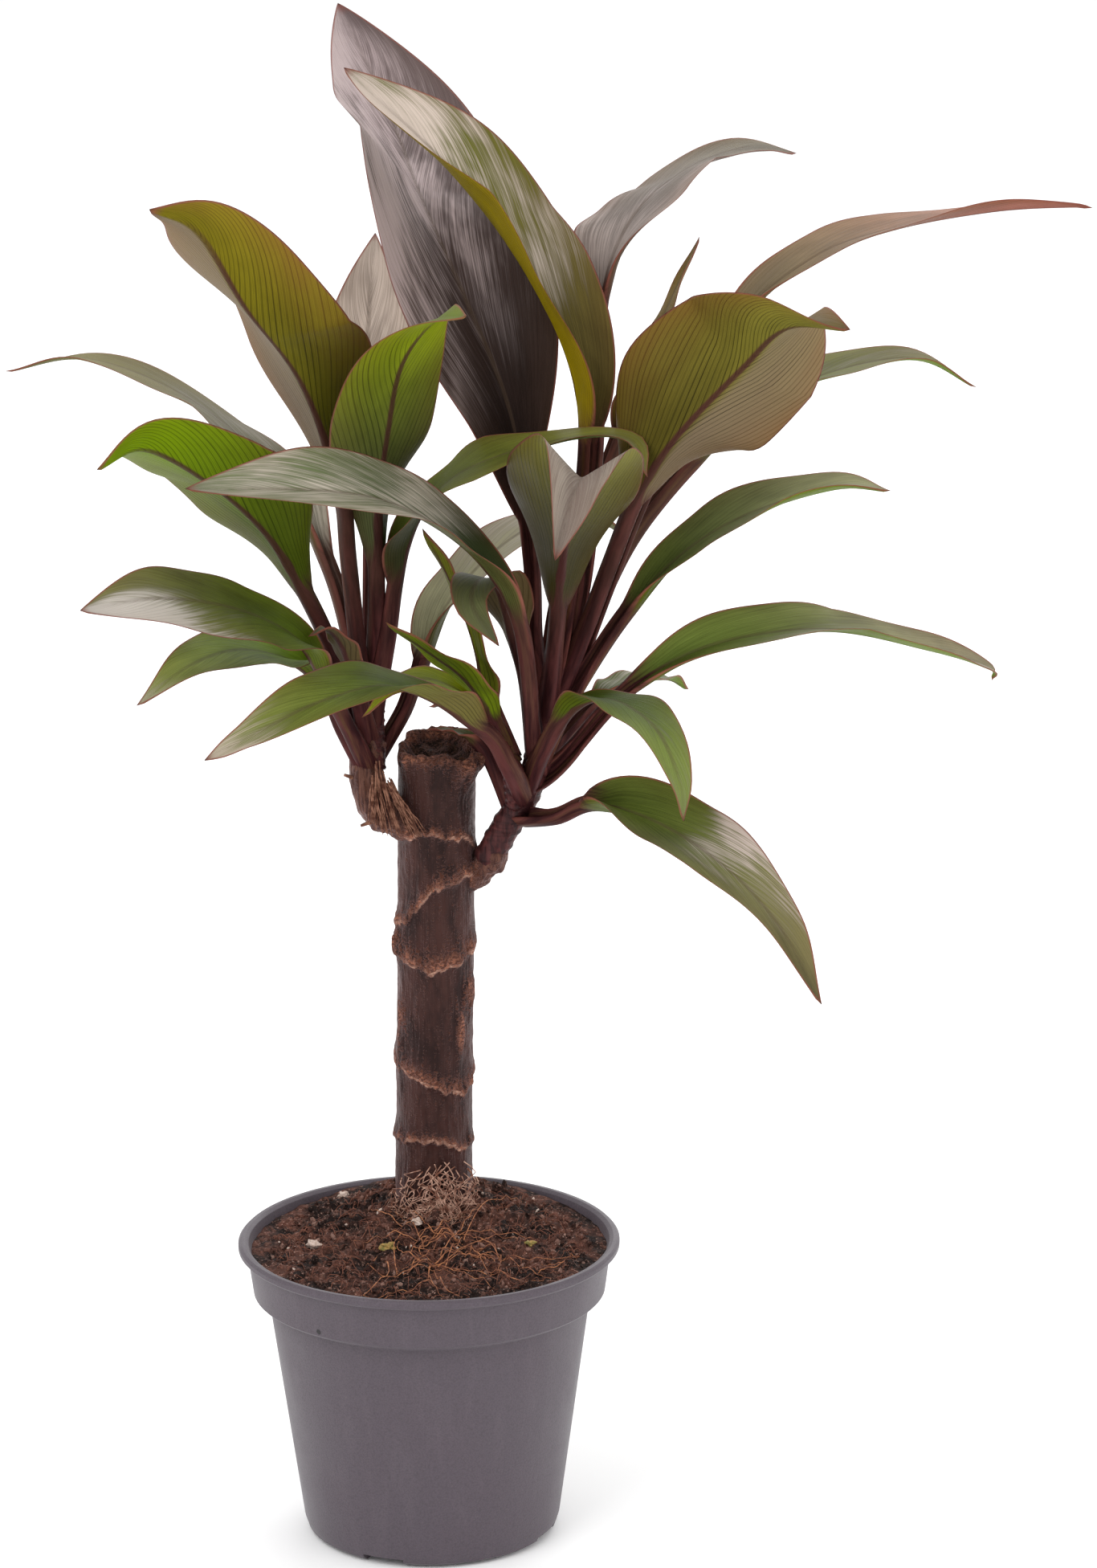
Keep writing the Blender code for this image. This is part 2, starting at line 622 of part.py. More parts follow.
def leaf_section(leaf, total, length, column):
    """One point of the leaf's section: how far across, how far raised, and the thickness there.

    `column` runs from -1 at one margin over 0 at the midrib to 1 at the other.
    """
    blade_start = leaf.clasp + leaf.stalk
    share = max(0.0, (length - blade_start) / (total - blade_start))
    clasp_half = CLASP_HALF_WIDTH + (STALK_HALF_WIDTH - CLASP_HALF_WIDTH) * min(1.0, length / leaf.clasp)
    neck = clasp_half + (TIP_HALF_WIDTH - clasp_half) * share
    peak = math.log(0.5) / math.log(leaf.widest)
    swell = math.sin(math.pi * share**peak) ** BLADE_POINTEDNESS if 0 < share < 1 else 0.0
    half = neck + (leaf.width / 2 - STALK_HALF_WIDTH) * swell
    opened = smoothstep(share, 0.0, BLADE_OPEN_BY)
    fold = math.radians(STALK_FOLD + (leaf.fold - STALK_FOLD) * opened)
    shift = RIGHT_WAVE_SHIFT if column > 0 else LEFT_WAVE_SHIFT
    ripple = math.sin(math.tau * WAVES_PER_BLADE * share + shift) * math.sin(math.pi * share)
    raised = half * abs(column) * math.sin(fold) + leaf.wave * ripple * column**2
    stalk_thickness = CLASP_THICKNESS + (STALK_THICKNESS - CLASP_THICKNESS) * min(1.0, length / leaf.clasp)
    thickness = stalk_thickness + (BLADE_THICKNESS - stalk_thickness) * smoothstep(share, 0.0, BLADE_THIN_BY)
    if column == 0:
        thickness += MIDRIB_EXTRA * (1.0 - share)
    return half * column * math.cos(fold), raised, thickness


def leaf_solid(line, leaf, lengths, columns):
    """A thin closed leaf between the given lengths: an upper and an under face split alike."""
    places, along, across, upper = leaf_frames(line, leaf, lengths)
    total = line[1][-1]
    top = np.empty((len(lengths), len(columns), 3))
    depth = np.empty((len(lengths), len(columns), 1))
    for row, length in enumerate(lengths):
        for index, column in enumerate(columns):
            aside, raised, thickness = leaf_section(leaf, total, length, column)
            top[row, index] = places[row] + across[row] * aside + upper[row] * raised
            depth[row, index] = thickness
    normals = unit(np.cross(along[:, None, :], np.gradient(top, axis=1)))
    return closed_sheet(top, top - normals * depth)


def closed_sheet(top, under):
    """A closed body between two grids of points of the same size."""
    bm = bmesh.new()
    upper = [[bm.verts.new(point) for point in row] for row in top]
    lower = [[bm.verts.new(point) for point in row] for row in under]
    rows, count = len(upper), len(upper[0])
    for row in range(rows - 1):
        for column in range(count - 1):
            split_pair(bm, upper, lower, row, column, mirrored=column >= count // 2)
        for column, way in ((0, -1), (count - 1, 1)):
            side = (upper[row][column], upper[row + 1][column], lower[row + 1][column], lower[row][column])
            bm.faces.new(side[::way])
    for row, way in ((0, 1), (rows - 1, -1)):
        for column in range(count - 1):
            cap = (upper[row][column], upper[row][column + 1], lower[row][column + 1], lower[row][column])
            bm.faces.new(cap[::way])
    return bm


def split_pair(bm, upper, lower, row, column, mirrored):
    """Splits one cell into two triangles along the same diagonal on the upper and under face."""
    corners = ((row, column), (row + 1, column), (row + 1, column + 1), (row, column + 1))
    picks = ((0, 1, 3), (1, 2, 3)) if mirrored else ((0, 1, 2), (0, 2, 3))
    for pick in picks:
        bm.faces.new([upper[corners[i][0]][corners[i][1]] for i in pick])
        bm.faces.new([lower[corners[i][0]][corners[i][1]] for i in reversed(pick)])


def free_lengths(line, leaf):
    """Where the free leaf's sections stand: along its stalk, then along its blade."""
    blade_start = leaf.clasp + leaf.stalk
    stalk = np.linspace(leaf.clasp + CLEARANCE / 2, blade_start, STALK_STEPS, endpoint=False)
    blade_length = line[1][-1] - blade_start
    steps = min(MOST_BLADE_STEPS, max(FEWEST_BLADE_STEPS, round(blade_length / BLADE_STEP_LENGTH)))
    blade = np.linspace(blade_start, line[1][-1], steps + 1)
    return np.concatenate((stalk, blade))


def clasp_lengths(leaf):
    steps = max(2, round(leaf.clasp / CLASP_STEP_LENGTH))
    return np.linspace(CLASP_ROOT, leaf.clasp - CLEARANCE / 2, steps + 1)


def build_leaves(plant, blade_material):
    for shoot, leaves in LEAVES.items():
        for number, leaf in enumerate(leaves, 1):
            line = leaf_line(shoot, leaf)
            bm = leaf_solid(line, leaf, free_lengths(line, leaf), BLADE_COLUMNS)
            add_object(f"{shoot}_leaf_{number:02d}", bm, blade_material, plant)


def clasps_of(name):
    """The clasping leaf bases of a shoot, which are one body with its stem."""
    made = []
    for number, leaf in enumerate(LEAVES[name], 1):
        bm = leaf_solid(leaf_line(name, leaf), leaf, clasp_lengths(leaf), CLASP_COLUMNS)
        made.append(add_object(f"{name}_clasp_{number:02d}", bm))
    return made


def shoot_stem(name):
    shoot = SHOOTS[name]
    line = smooth_line(shoot.line)
    start = shoot.knuckle + CLEARANCE / 2 if shoot.knuckle else 0.0
    return stem_tube(line, start, line[1][-1], (shoot.foot_radius, shoot.tip_radius), STEM_SIDES)


def build_shoots(plant, stem_material):
    left = add_object("left_shoot", shoot_stem("left"), stem_material, plant)
    fuse([left, *clasps_of("left")])
    right = add_object("right_shoot", shoot_stem("right"), stem_material, plant)
    bud = add_object("bud_stem", shoot_stem("bud"))
    fuse([right, bud, *clasps_of("right"), *clasps_of("bud")])


def build_cane(plant):
    """The trunk and the two knuckles of bark that the shoots grow from, as one body."""
    bark = new_material("cane_bark", (0.045, 0.026, 0.024), 0.8)
    trunk = add_object("cane", cane_trunk(), bark, plant)
    knuckles = []
    for name in ("left", "right"):
        shoot = SHOOTS[name]
        line = smooth_line(shoot.line)
        radii = [shoot.foot_radius + extra for extra in KNUCKLE_EXTRA]
        bm = stem_tube(line, 0.0, shoot.knuckle - CLEARANCE / 2, radii, KNUCKLE_SIDES)
        knuckles.append(add_object(f"{name}_knuckle", bm))
    fuse([trunk, *knuckles])


def main():
    clear_scene()
    plant = bpy.data.objects.new("potted_ti_plant", None)
    bpy.context.scene.collection.objects.link(plant)
    build_pot(plant)
    build_soil(plant)
    build_cane(plant)
    build_shoots(plant, new_material("shoot_skin", (0.075, 0.018, 0.022), 0.45))
    build_leaves(plant, new_material("leaf_blade", (0.06, 0.11, 0.03), 0.42))


main()
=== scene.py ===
"""Looks of the potted ti plant: fine leaves, stems, bark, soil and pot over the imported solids.

Sizes and places are in millimetres, with +Z up and -Y towards the viewer, as in the solids.
Each finished mesh is brought to metres by MM.
"""

import math
import random
from typing import NamedTuple

import bmesh
import bpy
import numpy as np
from mathutils import Matrix, Vector, noise


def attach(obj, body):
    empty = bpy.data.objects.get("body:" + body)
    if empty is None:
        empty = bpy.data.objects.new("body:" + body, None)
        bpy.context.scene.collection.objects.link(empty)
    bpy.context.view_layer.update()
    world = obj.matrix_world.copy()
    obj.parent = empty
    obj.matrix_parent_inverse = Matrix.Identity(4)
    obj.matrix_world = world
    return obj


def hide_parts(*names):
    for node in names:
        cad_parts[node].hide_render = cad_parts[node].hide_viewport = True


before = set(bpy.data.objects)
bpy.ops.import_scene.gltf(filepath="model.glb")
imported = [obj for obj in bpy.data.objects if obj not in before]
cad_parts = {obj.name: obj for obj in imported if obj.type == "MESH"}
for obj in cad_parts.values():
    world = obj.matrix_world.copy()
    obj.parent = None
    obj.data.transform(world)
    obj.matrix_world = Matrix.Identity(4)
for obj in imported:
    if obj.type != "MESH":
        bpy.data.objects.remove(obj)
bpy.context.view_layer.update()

MM = 0.001

# Camera: the photograph's place and angle, found from the pot's rim, foot and height.
PICTURE_HEIGHT = 1952
CAMERA_PLACE = (38.66, -2000.0, 809.11)
CAMERA_PITCH = 15.783
CAMERA_ROLL = 0.424
FOCAL_LENGTH_IN_PIXELS = 8383.42
SENSOR_HEIGHT = 36.0
FAR_CLIP = 20000.0

# Pot
POT_SIDES = 128
RIM_RADIUS = 60.0
RIM_HEIGHT = 96.2
LIP_HEIGHT = 3.0
LIP_OVERHANG = 2.8
LIP_ROUND = 0.8
COLLAR_FOOT_RADIUS = 55.4
COLLAR_FOOT_HEIGHT = 78.4
BODY_TOP_RADIUS = 50.6
BODY_FOOT_RADIUS = 40.5
HEEL_HEIGHT = 5.0
HEEL_ROUND = 1.1
FOOT_RADIUS = 36.8
FOOT_WIDTH = 5.0
FOOT_HEIGHT = 2.0
FLOOR_THICKNESS = 1.4
WALL = 1.3
CENTRE_PAD_RADIUS = 9.0
FOOT_SLOPE = 0.4
FOOT_GAPS = 8
FOOT_GAP_WIDTH = 13.4
FOOT_GAP_REACH = 14.0
FOOT_GAP_TOPS = (0.9, 2.8)
DRAIN_HOLES = 8
DRAIN_SIDES = 32
DRAIN_RADIUS = 3.5
DRAIN_CIRCLE = 22.0
DRAIN_PIN_LENGTH = 8.4
POT_EDGE_ROUND = 0.35
POT_EDGE_STEPS = 3
POT_ROUND_ABOVE = 25.0
POT_SHARP_ABOVE = 50.0
SPECK_PLACE = (-33.6, -44.3, 81.0)
SPECK_RADII = (0.7, 1.1)

# Soil
SOIL_EDGE_HEIGHT = 92.6
SOIL_HEAP = 7.0
SOIL_HEAP_SPREAD = 26.0
SOIL_BACK_RISE = 2.4
SOIL_BACK_START = 10.0
SOIL_BACK_LENGTH = 35.0
SOIL_BACK_MIDDLE = 4.0
SOIL_BACK_SPREAD = 34.0
# How wide each kind of lump is, and how high it rises.
SOIL_LUMPS = ((8.0, 2.2), (3.6, 1.8), (1.5, 0.9))
SOIL_RADIUS = 56.2
SOIL_DEPTH = 12.0
SOIL_SKIRT_SHARE = 0.97
SOIL_EDGE_WIDTH = 11.0
SOIL_EDGE_LUMPS = 0.25
SOIL_CELL = 0.9
SOIL_SIDES = 240
BED_TONE = 0.25
STEEPEST_BED = 0.2
CRUMBS = {"Per square cm": 34.0, "Smallest": 0.4, "Largest": 1.9, "Within": 51.0}
WHITE_GRIT = {
    "Per square cm": 0.5, "Smallest": 0.4, "Largest": 1.4, "Within": 52.0, "Seed": 8, "Keep bed": 0,
}
CRUMB_SEGMENTS = 6
CRUMB_RINGS = 4
CRUMB_KNOBS = 1.3
CRUMB_UNEVENNESS = 1.9
# The least and the most of each crumb's three sizes, and of its turns.
CRUMB_SHAPES = ((0.35, 0.3, 0.2), (1.2, 0.9, 0.7))
CRUMB_TURNS = ((0.0, 0.0, 0.0), (6.28, 6.28, 6.28))
# Each chip's x and y, and its size.
CHIPS = {
    "white_chip_left": (-36.0, 0.0, 4.4),
    "white_chip_back": (-28.0, 41.0, 3.0),
    "white_chip_middle": (-4.0, 8.0, 3.0),
    "white_chip_front": (18.0, -50.0, 2.6),
    "yellow_pebble_middle": (-13.0, -5.0, 4.0),
    "yellow_pebble_right": (32.0, -4.0, 3.0),
}
CHIP_SHARE_ABOVE = 0.25
CHIP_FLATNESS = 0.5
# How many lumps fit in a chip, and how high they rise as a share of it.
CHIP_LUMPS = ((2.2, 1.1), (7.0, 0.6))

# Strands on the soil and the cane. Lengths, lifts and heights are given as the least and the most.
STRAND_SEED = 11
STRAND_SIDES = 5
STRAND_REACH = 48.0
STRAND_CLEARANCE = 0.1
STRAND_BEND = 0.07
STRAND_BEND_CHANGE = 0.015
PEAT_FIBRES = 480
FIBRE_LENGTHS = (3.0, 9.0)
FIBRE_LIFTS = (0.4, 1.8)
FIBRE_POINTS = 7
ORANGE_ROOTS = 38
ROOT_MIDDLE = (7.0, -15.0)
ROOT_SPREAD = (12.0, 11.0)
ROOT_LENGTHS = (16.0, 44.0)
ROOT_LIFTS = (0.6, 3.5)
ROOT_POINTS = 18

# Pale roots cling to one side of the cane, given in degrees as for a knot, and come down on the soil.
PALE_ROOTS = 85
CLINGING_POINTS = 10
CLINGING_SIDE = 280.0
CLINGING_SPREAD = 31.0
CLINGING_HEIGHTS = (1.0, 17.0)
CLINGING_HIGHEST_SIDE = 290.0
CLINGING_LOW_SHARE = 0.2
CLINGING_REACHES = (0.5, 5.0)
CLINGING_WANDER = 0.14
CLINGING_GAP = 0.7
CLINGING_DEPTH = 2.4
CLINGING_CLEARANCE = 0.2
CLINGING_FALL = 1.2

# The husk's strands fan from beside the left shoot down to a scar. The top and foot have a left end
# and a width, and the strands that come down left of the free side hang clear of the cane.
HUSK_STRANDS = 60
HUSK_POINTS = 8
HUSK_TOP = (-17.0, 14.5, 239.0)
HUSK_TOP_WIDTH = 7.0
HUSK_TOP_DEPTHS = (-0.8, 0.5)
HUSK_TOP_FRAY = 5.5
HUSK_TOP_EVENING = 0.8
HUSK_FOOT_LEFT = -18.5
HUSK_FOOT_WIDTH = 18.0
HUSK_FOOT_HEIGHT = 223.5
HUSK_FOOT_FRAY = 1.0
HUSK_FOOT_CLIMB = 0.7
HUSK_CLIMB_START = -11.0
HUSK_GAP = 1.4
HUSK_SCAR_HEIGHT = 224.0
HUSK_FREE_SIDE = -7.0
HUSK_FURTHEST_BACK = (14.5, 20.0)
HUSK_LIFTS = (0.2, 2.0)
HUSK_WANDER = 0.25
HUSK_ARCH = 0.3
HUSK_SPURS = (
    ((-17, 20, 240), (-21, 19, 240.5), (-25, 18.5, 242)),
    ((-13, 18, 228), (-17, 17, 227), (-20, 16.5, 226)),
)

# Cane
CANE_RADIUS = 12.1
CANE_BOTTOM = (0.0, 28.0, 45.0)
CANE_TOP = (4.0, 28.0, 249.5)
CANE_FOOT = 78.0
CANE_SIDES = 90
CANE_RING_SPACING = 0.9
CUT_EDGE = 1.2
CUT_WALL = 3.2
CUT_DEPTH = 5.5
CUT_SLANT = 1.8
CUT_RAGGEDNESS = 2.4
CUT_JAGS = 2.5
CUT_SEED = 7.0
CUT_RIM_WIDTH = 3.2
BARK_CELL = 0.6
SCAR_JAG = 1.6
SCAR_JAGS = 6.0
SCAR_JAG_HEIGHT = 9.0
SCAR_EDGE = 0.75
# How wide and how tall each kind of lump in the bark is, and how high it rises.
BARK_LUMPS = ((4.0, 9.0, 0.35), (1.3, 3.0, 0.18))
KNUCKLE_SIDES = 40
KNUCKLE_TAPER_SHARE = 0.6
KNUCKLE_START = 0.8
KNUCKLE_FADE = 1.5
COLLAR_PLACE = 1.6
COLLAR_WIDTH = 1.4
COLLAR_START = 0.6
COLLAR_STRENGTH = 0.9
CUT_DARK_START = 1.0
CUT_DARK_FADE = 2.5
SCAR_ROUGHNESS = 2.0
KNUCKLE_ROUGHNESS = 1.5


class Scar(NamedTuple):
    """A ring left by an old leaf: the heights of its lower edge round the cane, its width and rise.

    There are eight heights, from the right side (+X) by way of the back and the left to the front.
    """

    heights: tuple
    width: float
    rise: float


class Knot(NamedTuple):
    """A rusty lump: its height, its compass side in degrees, its half width and height, its rise."""

    height: float
    side: float
    wide: float
    tall: float
    rise: float


SCARS = (
    Scar((213, 216, 218, 220, 221, 222, 223, 221), 2.6, 0.9),
    Scar((209, 206, 200, 195, 191, 193.5, 206, 208), 4.0, 0.9),
    Scar((184, 182, 181, 182, 184, 180, 178, 181.5), 5.5, 0.9),
    Scar((141, 143, 145, 146, 146, 144, 140, 136.5), 4.5, 0.8),
    Scar((119, 119, 120, 121, 121.5, 121.5, 122.5, 119), 2.4, 0.6),
)
KNOTS = (
    Knot(246, -38, 6.0, 7.0, 5.0),
    Knot(249, 215, 4.5, 6.0, 2.6),
    Knot(185, 200, 4.0, 5.0, 1.5),
    Knot(159, 207, 2.6, 8.0, 0.9),
    Knot(170, -28, 3.4, 7.0, 1.2),
    Knot(158, -48, 1.8, 7.0, 0.6),
)


# The middle lines of the shoots, which the leaves grow from.
SHOOTS = {
    "left": ((0, 27, 214), (-10, 23, 222), (-15.5, 22, 233), (-17, 25, 248), (-16, 30, 262)),
    "right": ((8, 27, 200), (19, 25, 206), (26, 21, 217), (31, 16, 233), (36, 12, 250), (39, 11, 266)),
    "bud": ((31, 16, 233), (27, 5, 247), (24, -1, 258)),
}


class Stem(NamedTuple):
    """A round stem or bark knuckle: its middle line, and its radius at the foot and the tip."""

    line: tuple
    foot_radius: float
    tip_radius: float


KNUCKLES = {
    "left": Stem(((2, 26, 226), (-8, 23, 226.5), (-15.5, 21, 232), (-18, 22, 243), (-17, 25, 252)),
                 7.6, 5.4),
    "right": Stem(((8, 27, 205), (16, 25, 208), (20.5, 22.8, 213.5), (22.5, 21.5, 218)), 5.6, 4.4),
}
STEMS = {
    "left": Stem(((-17.5, 22, 243), (-17, 25, 252), (-16, 30, 264)), 5.4, 3.6),
    "right": Stem(((19.5, 23, 213), (25, 20, 224), (31, 16, 235), (36, 12, 250), (39, 11, 266)),
                  4.6, 4.4),
    "bud": Stem(((29, 17, 231), (27, 5, 247), (24, -1, 258)), 3.4, 2.2),
}
STEM_SIDES = 24
STEM_STEP = 0.7
STEM_JOINTS = 9.0
STEM_SWELLING = 0.35

# Leaves
CLASP_HALF_WIDTH = 5.0
STALK_HALF_WIDTH = 3.0
TIP_HALF_WIDTH = 0.15
CLASP_THICKNESS = 2.2
STALK_THICKNESS = 1.8
BLADE_THICKNESS = 0.6
MIDRIB_EXTRA = 0.7
MIDRIB_HALF_WIDTH = 1.1
MIDRIB_ROUNDING = 0.05
STALK_ROUNDING = 0.9
STALK_ROUND_UNTIL = 0.12
STALK_FOLD = 58.0
BLADE_OPEN_BY = 0.35
BLADE_THIN_BY = 0.25
BLADE_POINTEDNESS = 0.95
WAVES_PER_BLADE = 2.5
LEFT_WAVE_SHIFT = 2.4
RIGHT_WAVE_SHIFT = 0.9
CLASP_ROOT = 1.0
LEAF_COLUMNS = 33
COLUMN_CROWDING = 0.07
LEAF_STEP = 2.4
LEAF_WELD = 0.004
LEAF_EDGE_POWER = 8.0
LEAF_END_SHARE = 0.497
LEAF_SEED_STEP = 3.7
LINE_DETAIL = 16
VEIN_SPACING = 2.0
FINE_VEIN_SPACING = VEIN_SPACING / 3.2
VEIN_CURVE = 1.78
VEIN_LEAN = 0.27


class Leaf(NamedTuple):
    """One leaf. `at` is how far up its shoot it grows, and `line` its midrib from there on.

    `clasp` and `stalk` are lengths along the midrib, and the blade takes the rest. `width` is
    the blade's full width, `widest` its place as a share of the blade, `roll` how far the leaf
    is turned about its midrib at the stem, mid blade and tip, in degrees, and `fold` how far
    each half is raised from flat at mid blade. `wave` is the height of the ripple in the margin.
    """

    at: float
    line: tuple
    clasp: float
    stalk: float
    width: float
    widest: float = 0.42
    roll: tuple = (0, 0, 0)
    fold: float = 12.0
    wave: float = 0.8


LEFT_LEAVES = (
    # 1: low, arching left, with the tip hanging
    Leaf(31, ((-25, 17, 257), (-33, 9, 277), (-52, -18, 292), (-68, -42, 294), (-84, -60, 286)),
         26, 16, 27, 0.44, (-14, -20, 0), 5),
    # 2: low, arching further left
    Leaf(34, ((-25, 5, 265), (-34, -15, 291), (-51, -39, 309), (-75, -68, 321), (-98, -90, 323)),
         24, 28, 35, 0.54, (-44, -35, -35), 0),
    # 3: behind the shoots, lying to the right
    Leaf(36, ((-7, 34, 257), (-3, 38, 266), (8, 48, 290), (28, 62, 307), (49, 76, 311), (68, 88, 299)),
         14, 24, 26),
    # 4: left, half way up, bowed
    Leaf(38, ((-26, 15, 278), (-36, 0, 306), (-47, -16, 329), (-62, -34, 348), (-80, -58, 364),
              (-93, -76, 362)), 36, 32, 44, 0.45, (60, 20, 55), 22),
    # 5: long and thin, far out to the left
    Leaf(36, ((-23, 36, 280), (-31, 44, 306), (-46, 72, 325), (-74, 106, 342), (-108, 116, 354),
              (-135, 116, 350)), 36, 32, 32, 0.48, (-28, 20, 0), 4),
    # 6: a small curled leaf at the heart of the shoot
    Leaf(40, ((-22, 8, 278), (-25, -4, 291), (-29, -12, 297), (-34, -18, 296)), 27, 4, 12),
    # 7: broad, folded along its midrib, leaning to the upper left
    Leaf(40, ((-22, 14, 310), (-24, 0, 337), (-34, -32, 378), (-49, -64, 408), (-61, -90, 435),
              (-74, -106, 445)), 36, 59, 54, 0.5, (85, -14, 40), 28),
    # 8: upright behind, leaning back
    Leaf(44, ((-16, 50, 318), (-17, 78, 342), (-18, 110, 361), (-17, 129, 378), (-16, 142, 389)),
         31, 39, 38, 0.44, (-5, -8, 0), 17),
    # 9: over to the right, behind the right shoot's front leaves
    Leaf(44, ((-11, 20, 284), (-5, 6, 318), (10, -14, 344), (38, -19, 356), (63, -21, 358),
              (69, -31, 348)), 49, 9, 37, 0.5, (40, 20, -20), 5),
    # 10: broad and upright, leaning to the front
    Leaf(47, ((-14, 20, 287), (-13, 2, 330), (-9, -24, 362), (-4, -52, 388), (6, -78, 406),
              (16, -100, 412)), 47, 13, 39, 0.49, (0, 14, 24), 10),
)

RIGHT_LEAVES = (
    # 1: lowest, hanging to the right
    Leaf(38, ((41, 4, 232), (53, -6, 239), (72, -24, 238), (92, -45, 230), (108, -62, 216),
              (120, -76, 196)), 14, 18, 34, 0.42, (40, 0, -10), 12),
    # 2: arching left, in front of the cane
    Leaf(44, ((26, -5, 251), (18, -15, 266), (-6, -48, 288), (-27, -77, 292), (-51, -84, 282),
              (-63, -82, 275)), 40, 8, 33, 0.47, (13, -6, -16), 14),
    # 3: short, bent down to the right
    Leaf(48, ((38, -4, 257), (46, -11, 271), (58, -27, 278), (71, -50, 275), (78, -60, 261),
              (79, -64, 250)), 32, 6, 25, 0.5, (-8, -4, -20), 5),
    # 4: long, arching right
    Leaf(52, ((43, 12, 248), (64, 19, 269), (91, 27, 281), (126, 37, 283), (159, 58, 271),
              (180, 79, 259), (181, 86, 253)), 20, 23, 28, 0.47, (72, 0, 27), 18),
    # 5: small, behind leaf 4
    Leaf(56, ((53, 42, 257), (66, 64, 259), (77, 84, 255), (84, 96, 248)), 18, 20, 18),
    # 6: arching left at the top of the shoot, over the left shoot
    Leaf(56, ((34, -2, 261), (30, -22, 302), (17, -37, 326), (-3, -57, 345), (-25, -76, 355),
              (-66, -97, 361)), 30, 38, 36, 0.58, (-60, -32, -30), 20),
    # 7: right, half way up
    Leaf(58, ((47, 8, 271), (64, 16, 295), (82, 12, 315), (102, 7, 328), (127, -4, 338),
              (143, -13, 339)), 41, 17, 33, 0.58, (90, 14, -12), 13),
    # 8: dark, bent down at the heart of the shoot
    Leaf(58, ((32, 10, 274), (27, 0, 295), (23, -9, 310), (18, -17, 313), (16, -27, 308),
              (24, -31, 296)), 36, 5, 22),
    # 9: behind, far out to the right
    Leaf(62, ((52, 28, 287), (69, 45, 316), (100, 71, 343), (128, 94, 352), (157, 107, 354),
              (177, 113, 343)), 37, 70, 32, 0.4, (-28, -3, 13), 12),
    # 10: the longest, highest on the right
    Leaf(64, ((55, 24, 295), (69, 39, 326), (93, 61, 370), (121, 72, 393), (148, 83, 401),
              (180, 91, 405), (205, 97, 405), (212, 98, 404)), 50, 90, 30, 0.54, (84, -6, -23), 12),
    # 11: narrow, upright behind
    Leaf(66, ((43, 34, 296), (60, 56, 336), (74, 83, 368), (88, 112, 393)),
         28, 76, 19, 0.42, (-26, -43, -45), 7),
    # 12: upright behind, bending right
    Leaf(68, ((49, 24, 298), (54, 35, 341), (56, 54, 383), (66, 76, 406), (84, 102, 417),
              (105, 129, 419), (120, 143, 414)), 46, 91, 40, 0.42, (60, -26, 25), 2),
    # 13: broad, leaning to the front right
    Leaf(70, ((51, 4, 293), (58, 0, 313), (67, -12, 339), (78, -20, 358), (97, -28, 380),
              (110, -48, 397), (128, -66, 400)), 42, 44, 62, 0.37, (-26, -60, 10), 30),
    # 14: in the middle, folded, bent over towards the front
    Leaf(70, ((41, -4, 290), (43, -20, 316), (46, -50, 341), (49, -82, 360), (46, -102, 358),
              (41, -114, 343)), 34, 16, 54, 0.4, (-8, -6, -10), 38),
    # 15: tall and folded, leaning left
    Leaf(74, ((45, 6, 292), (49, 0, 329), (50, 4, 364), (36, 16, 397), (12, 38, 427), (-23, 66, 456)),
         38, 54, 51, 0.49, (0, 20, -20), 29),
    # 16: the tallest and broadest
    Leaf(74, ((35, 18, 284), (34, 22, 311), (28, 27, 354), (14, 38, 389), (1, 64, 414),
              (-11, 122, 433), (-28, 178, 458)), 28, 34, 66, 0.46, (-74, 26, -12), 21),
    # 17 and 18: two short old leaves behind the top of the cane
    Leaf(42, ((19, 33, 251), (8, 45, 257), (1, 51, 255)), 24, 3, 10),
    Leaf(36, ((19, 21, 249), (9, 26, 254), (1, 32, 253)), 26, 3, 7),
)

BUD_LEAVES = (
    # 1: arching left
    Leaf(14, ((18, 5, 266), (4, -3, 278), (-8, -14, 279), (-18, -20, 271)),
         25, 2, 14, 0.43, (-19, -26, -4), 4),
    # 2: leaning left
    Leaf(18, ((21, -5, 267), (14, -17, 282), (4, -24, 292), (-10, -36, 305)),
         20, 2, 15, 0.43, (14, 9, 5), 4),
    # 3: upright
    Leaf(22, ((20, 0, 273), (16, -7, 293), (9, -4, 311), (1, -12, 328)),
         19, 2, 17, 0.45, (0, -16, 20), 6),
)
LEAVES = {"left": LEFT_LEAVES, "right": RIGHT_LEAVES, "bud": BUD_LEAVES}


class Finish(NamedTuple):
    """A leaf's colours, each as linear red, green and blue.

    `foot` and `tip` are the upper side's colours at both ends of the blade; the foot is darker,
    partly its own colour and partly painted shade. `under_foot` and `under_tip` are those of the
    underside, whose bright yellow-green is partly painted light shining through the leaf.
    `sheen` is the colour of the painted silver highlight on the upper side, and
    `silver` how much of it there is at the foot, middle and tip. `silver_side` moves
    it to the right half (above 0) or the left half (below 0). `dull_side` greys one half of the
    underside in the same way with a painted glare, and `flush` is how far red spreads from the
    margin.
    """

    foot: tuple
    tip: tuple
    under_foot: tuple
    under_tip: tuple
    sheen: tuple
    silver: tuple = (0.0, 0.1, 0.3)
    silver_side: float = 0.0
    dull_side: float = 0.0
    flush: float = 0.1
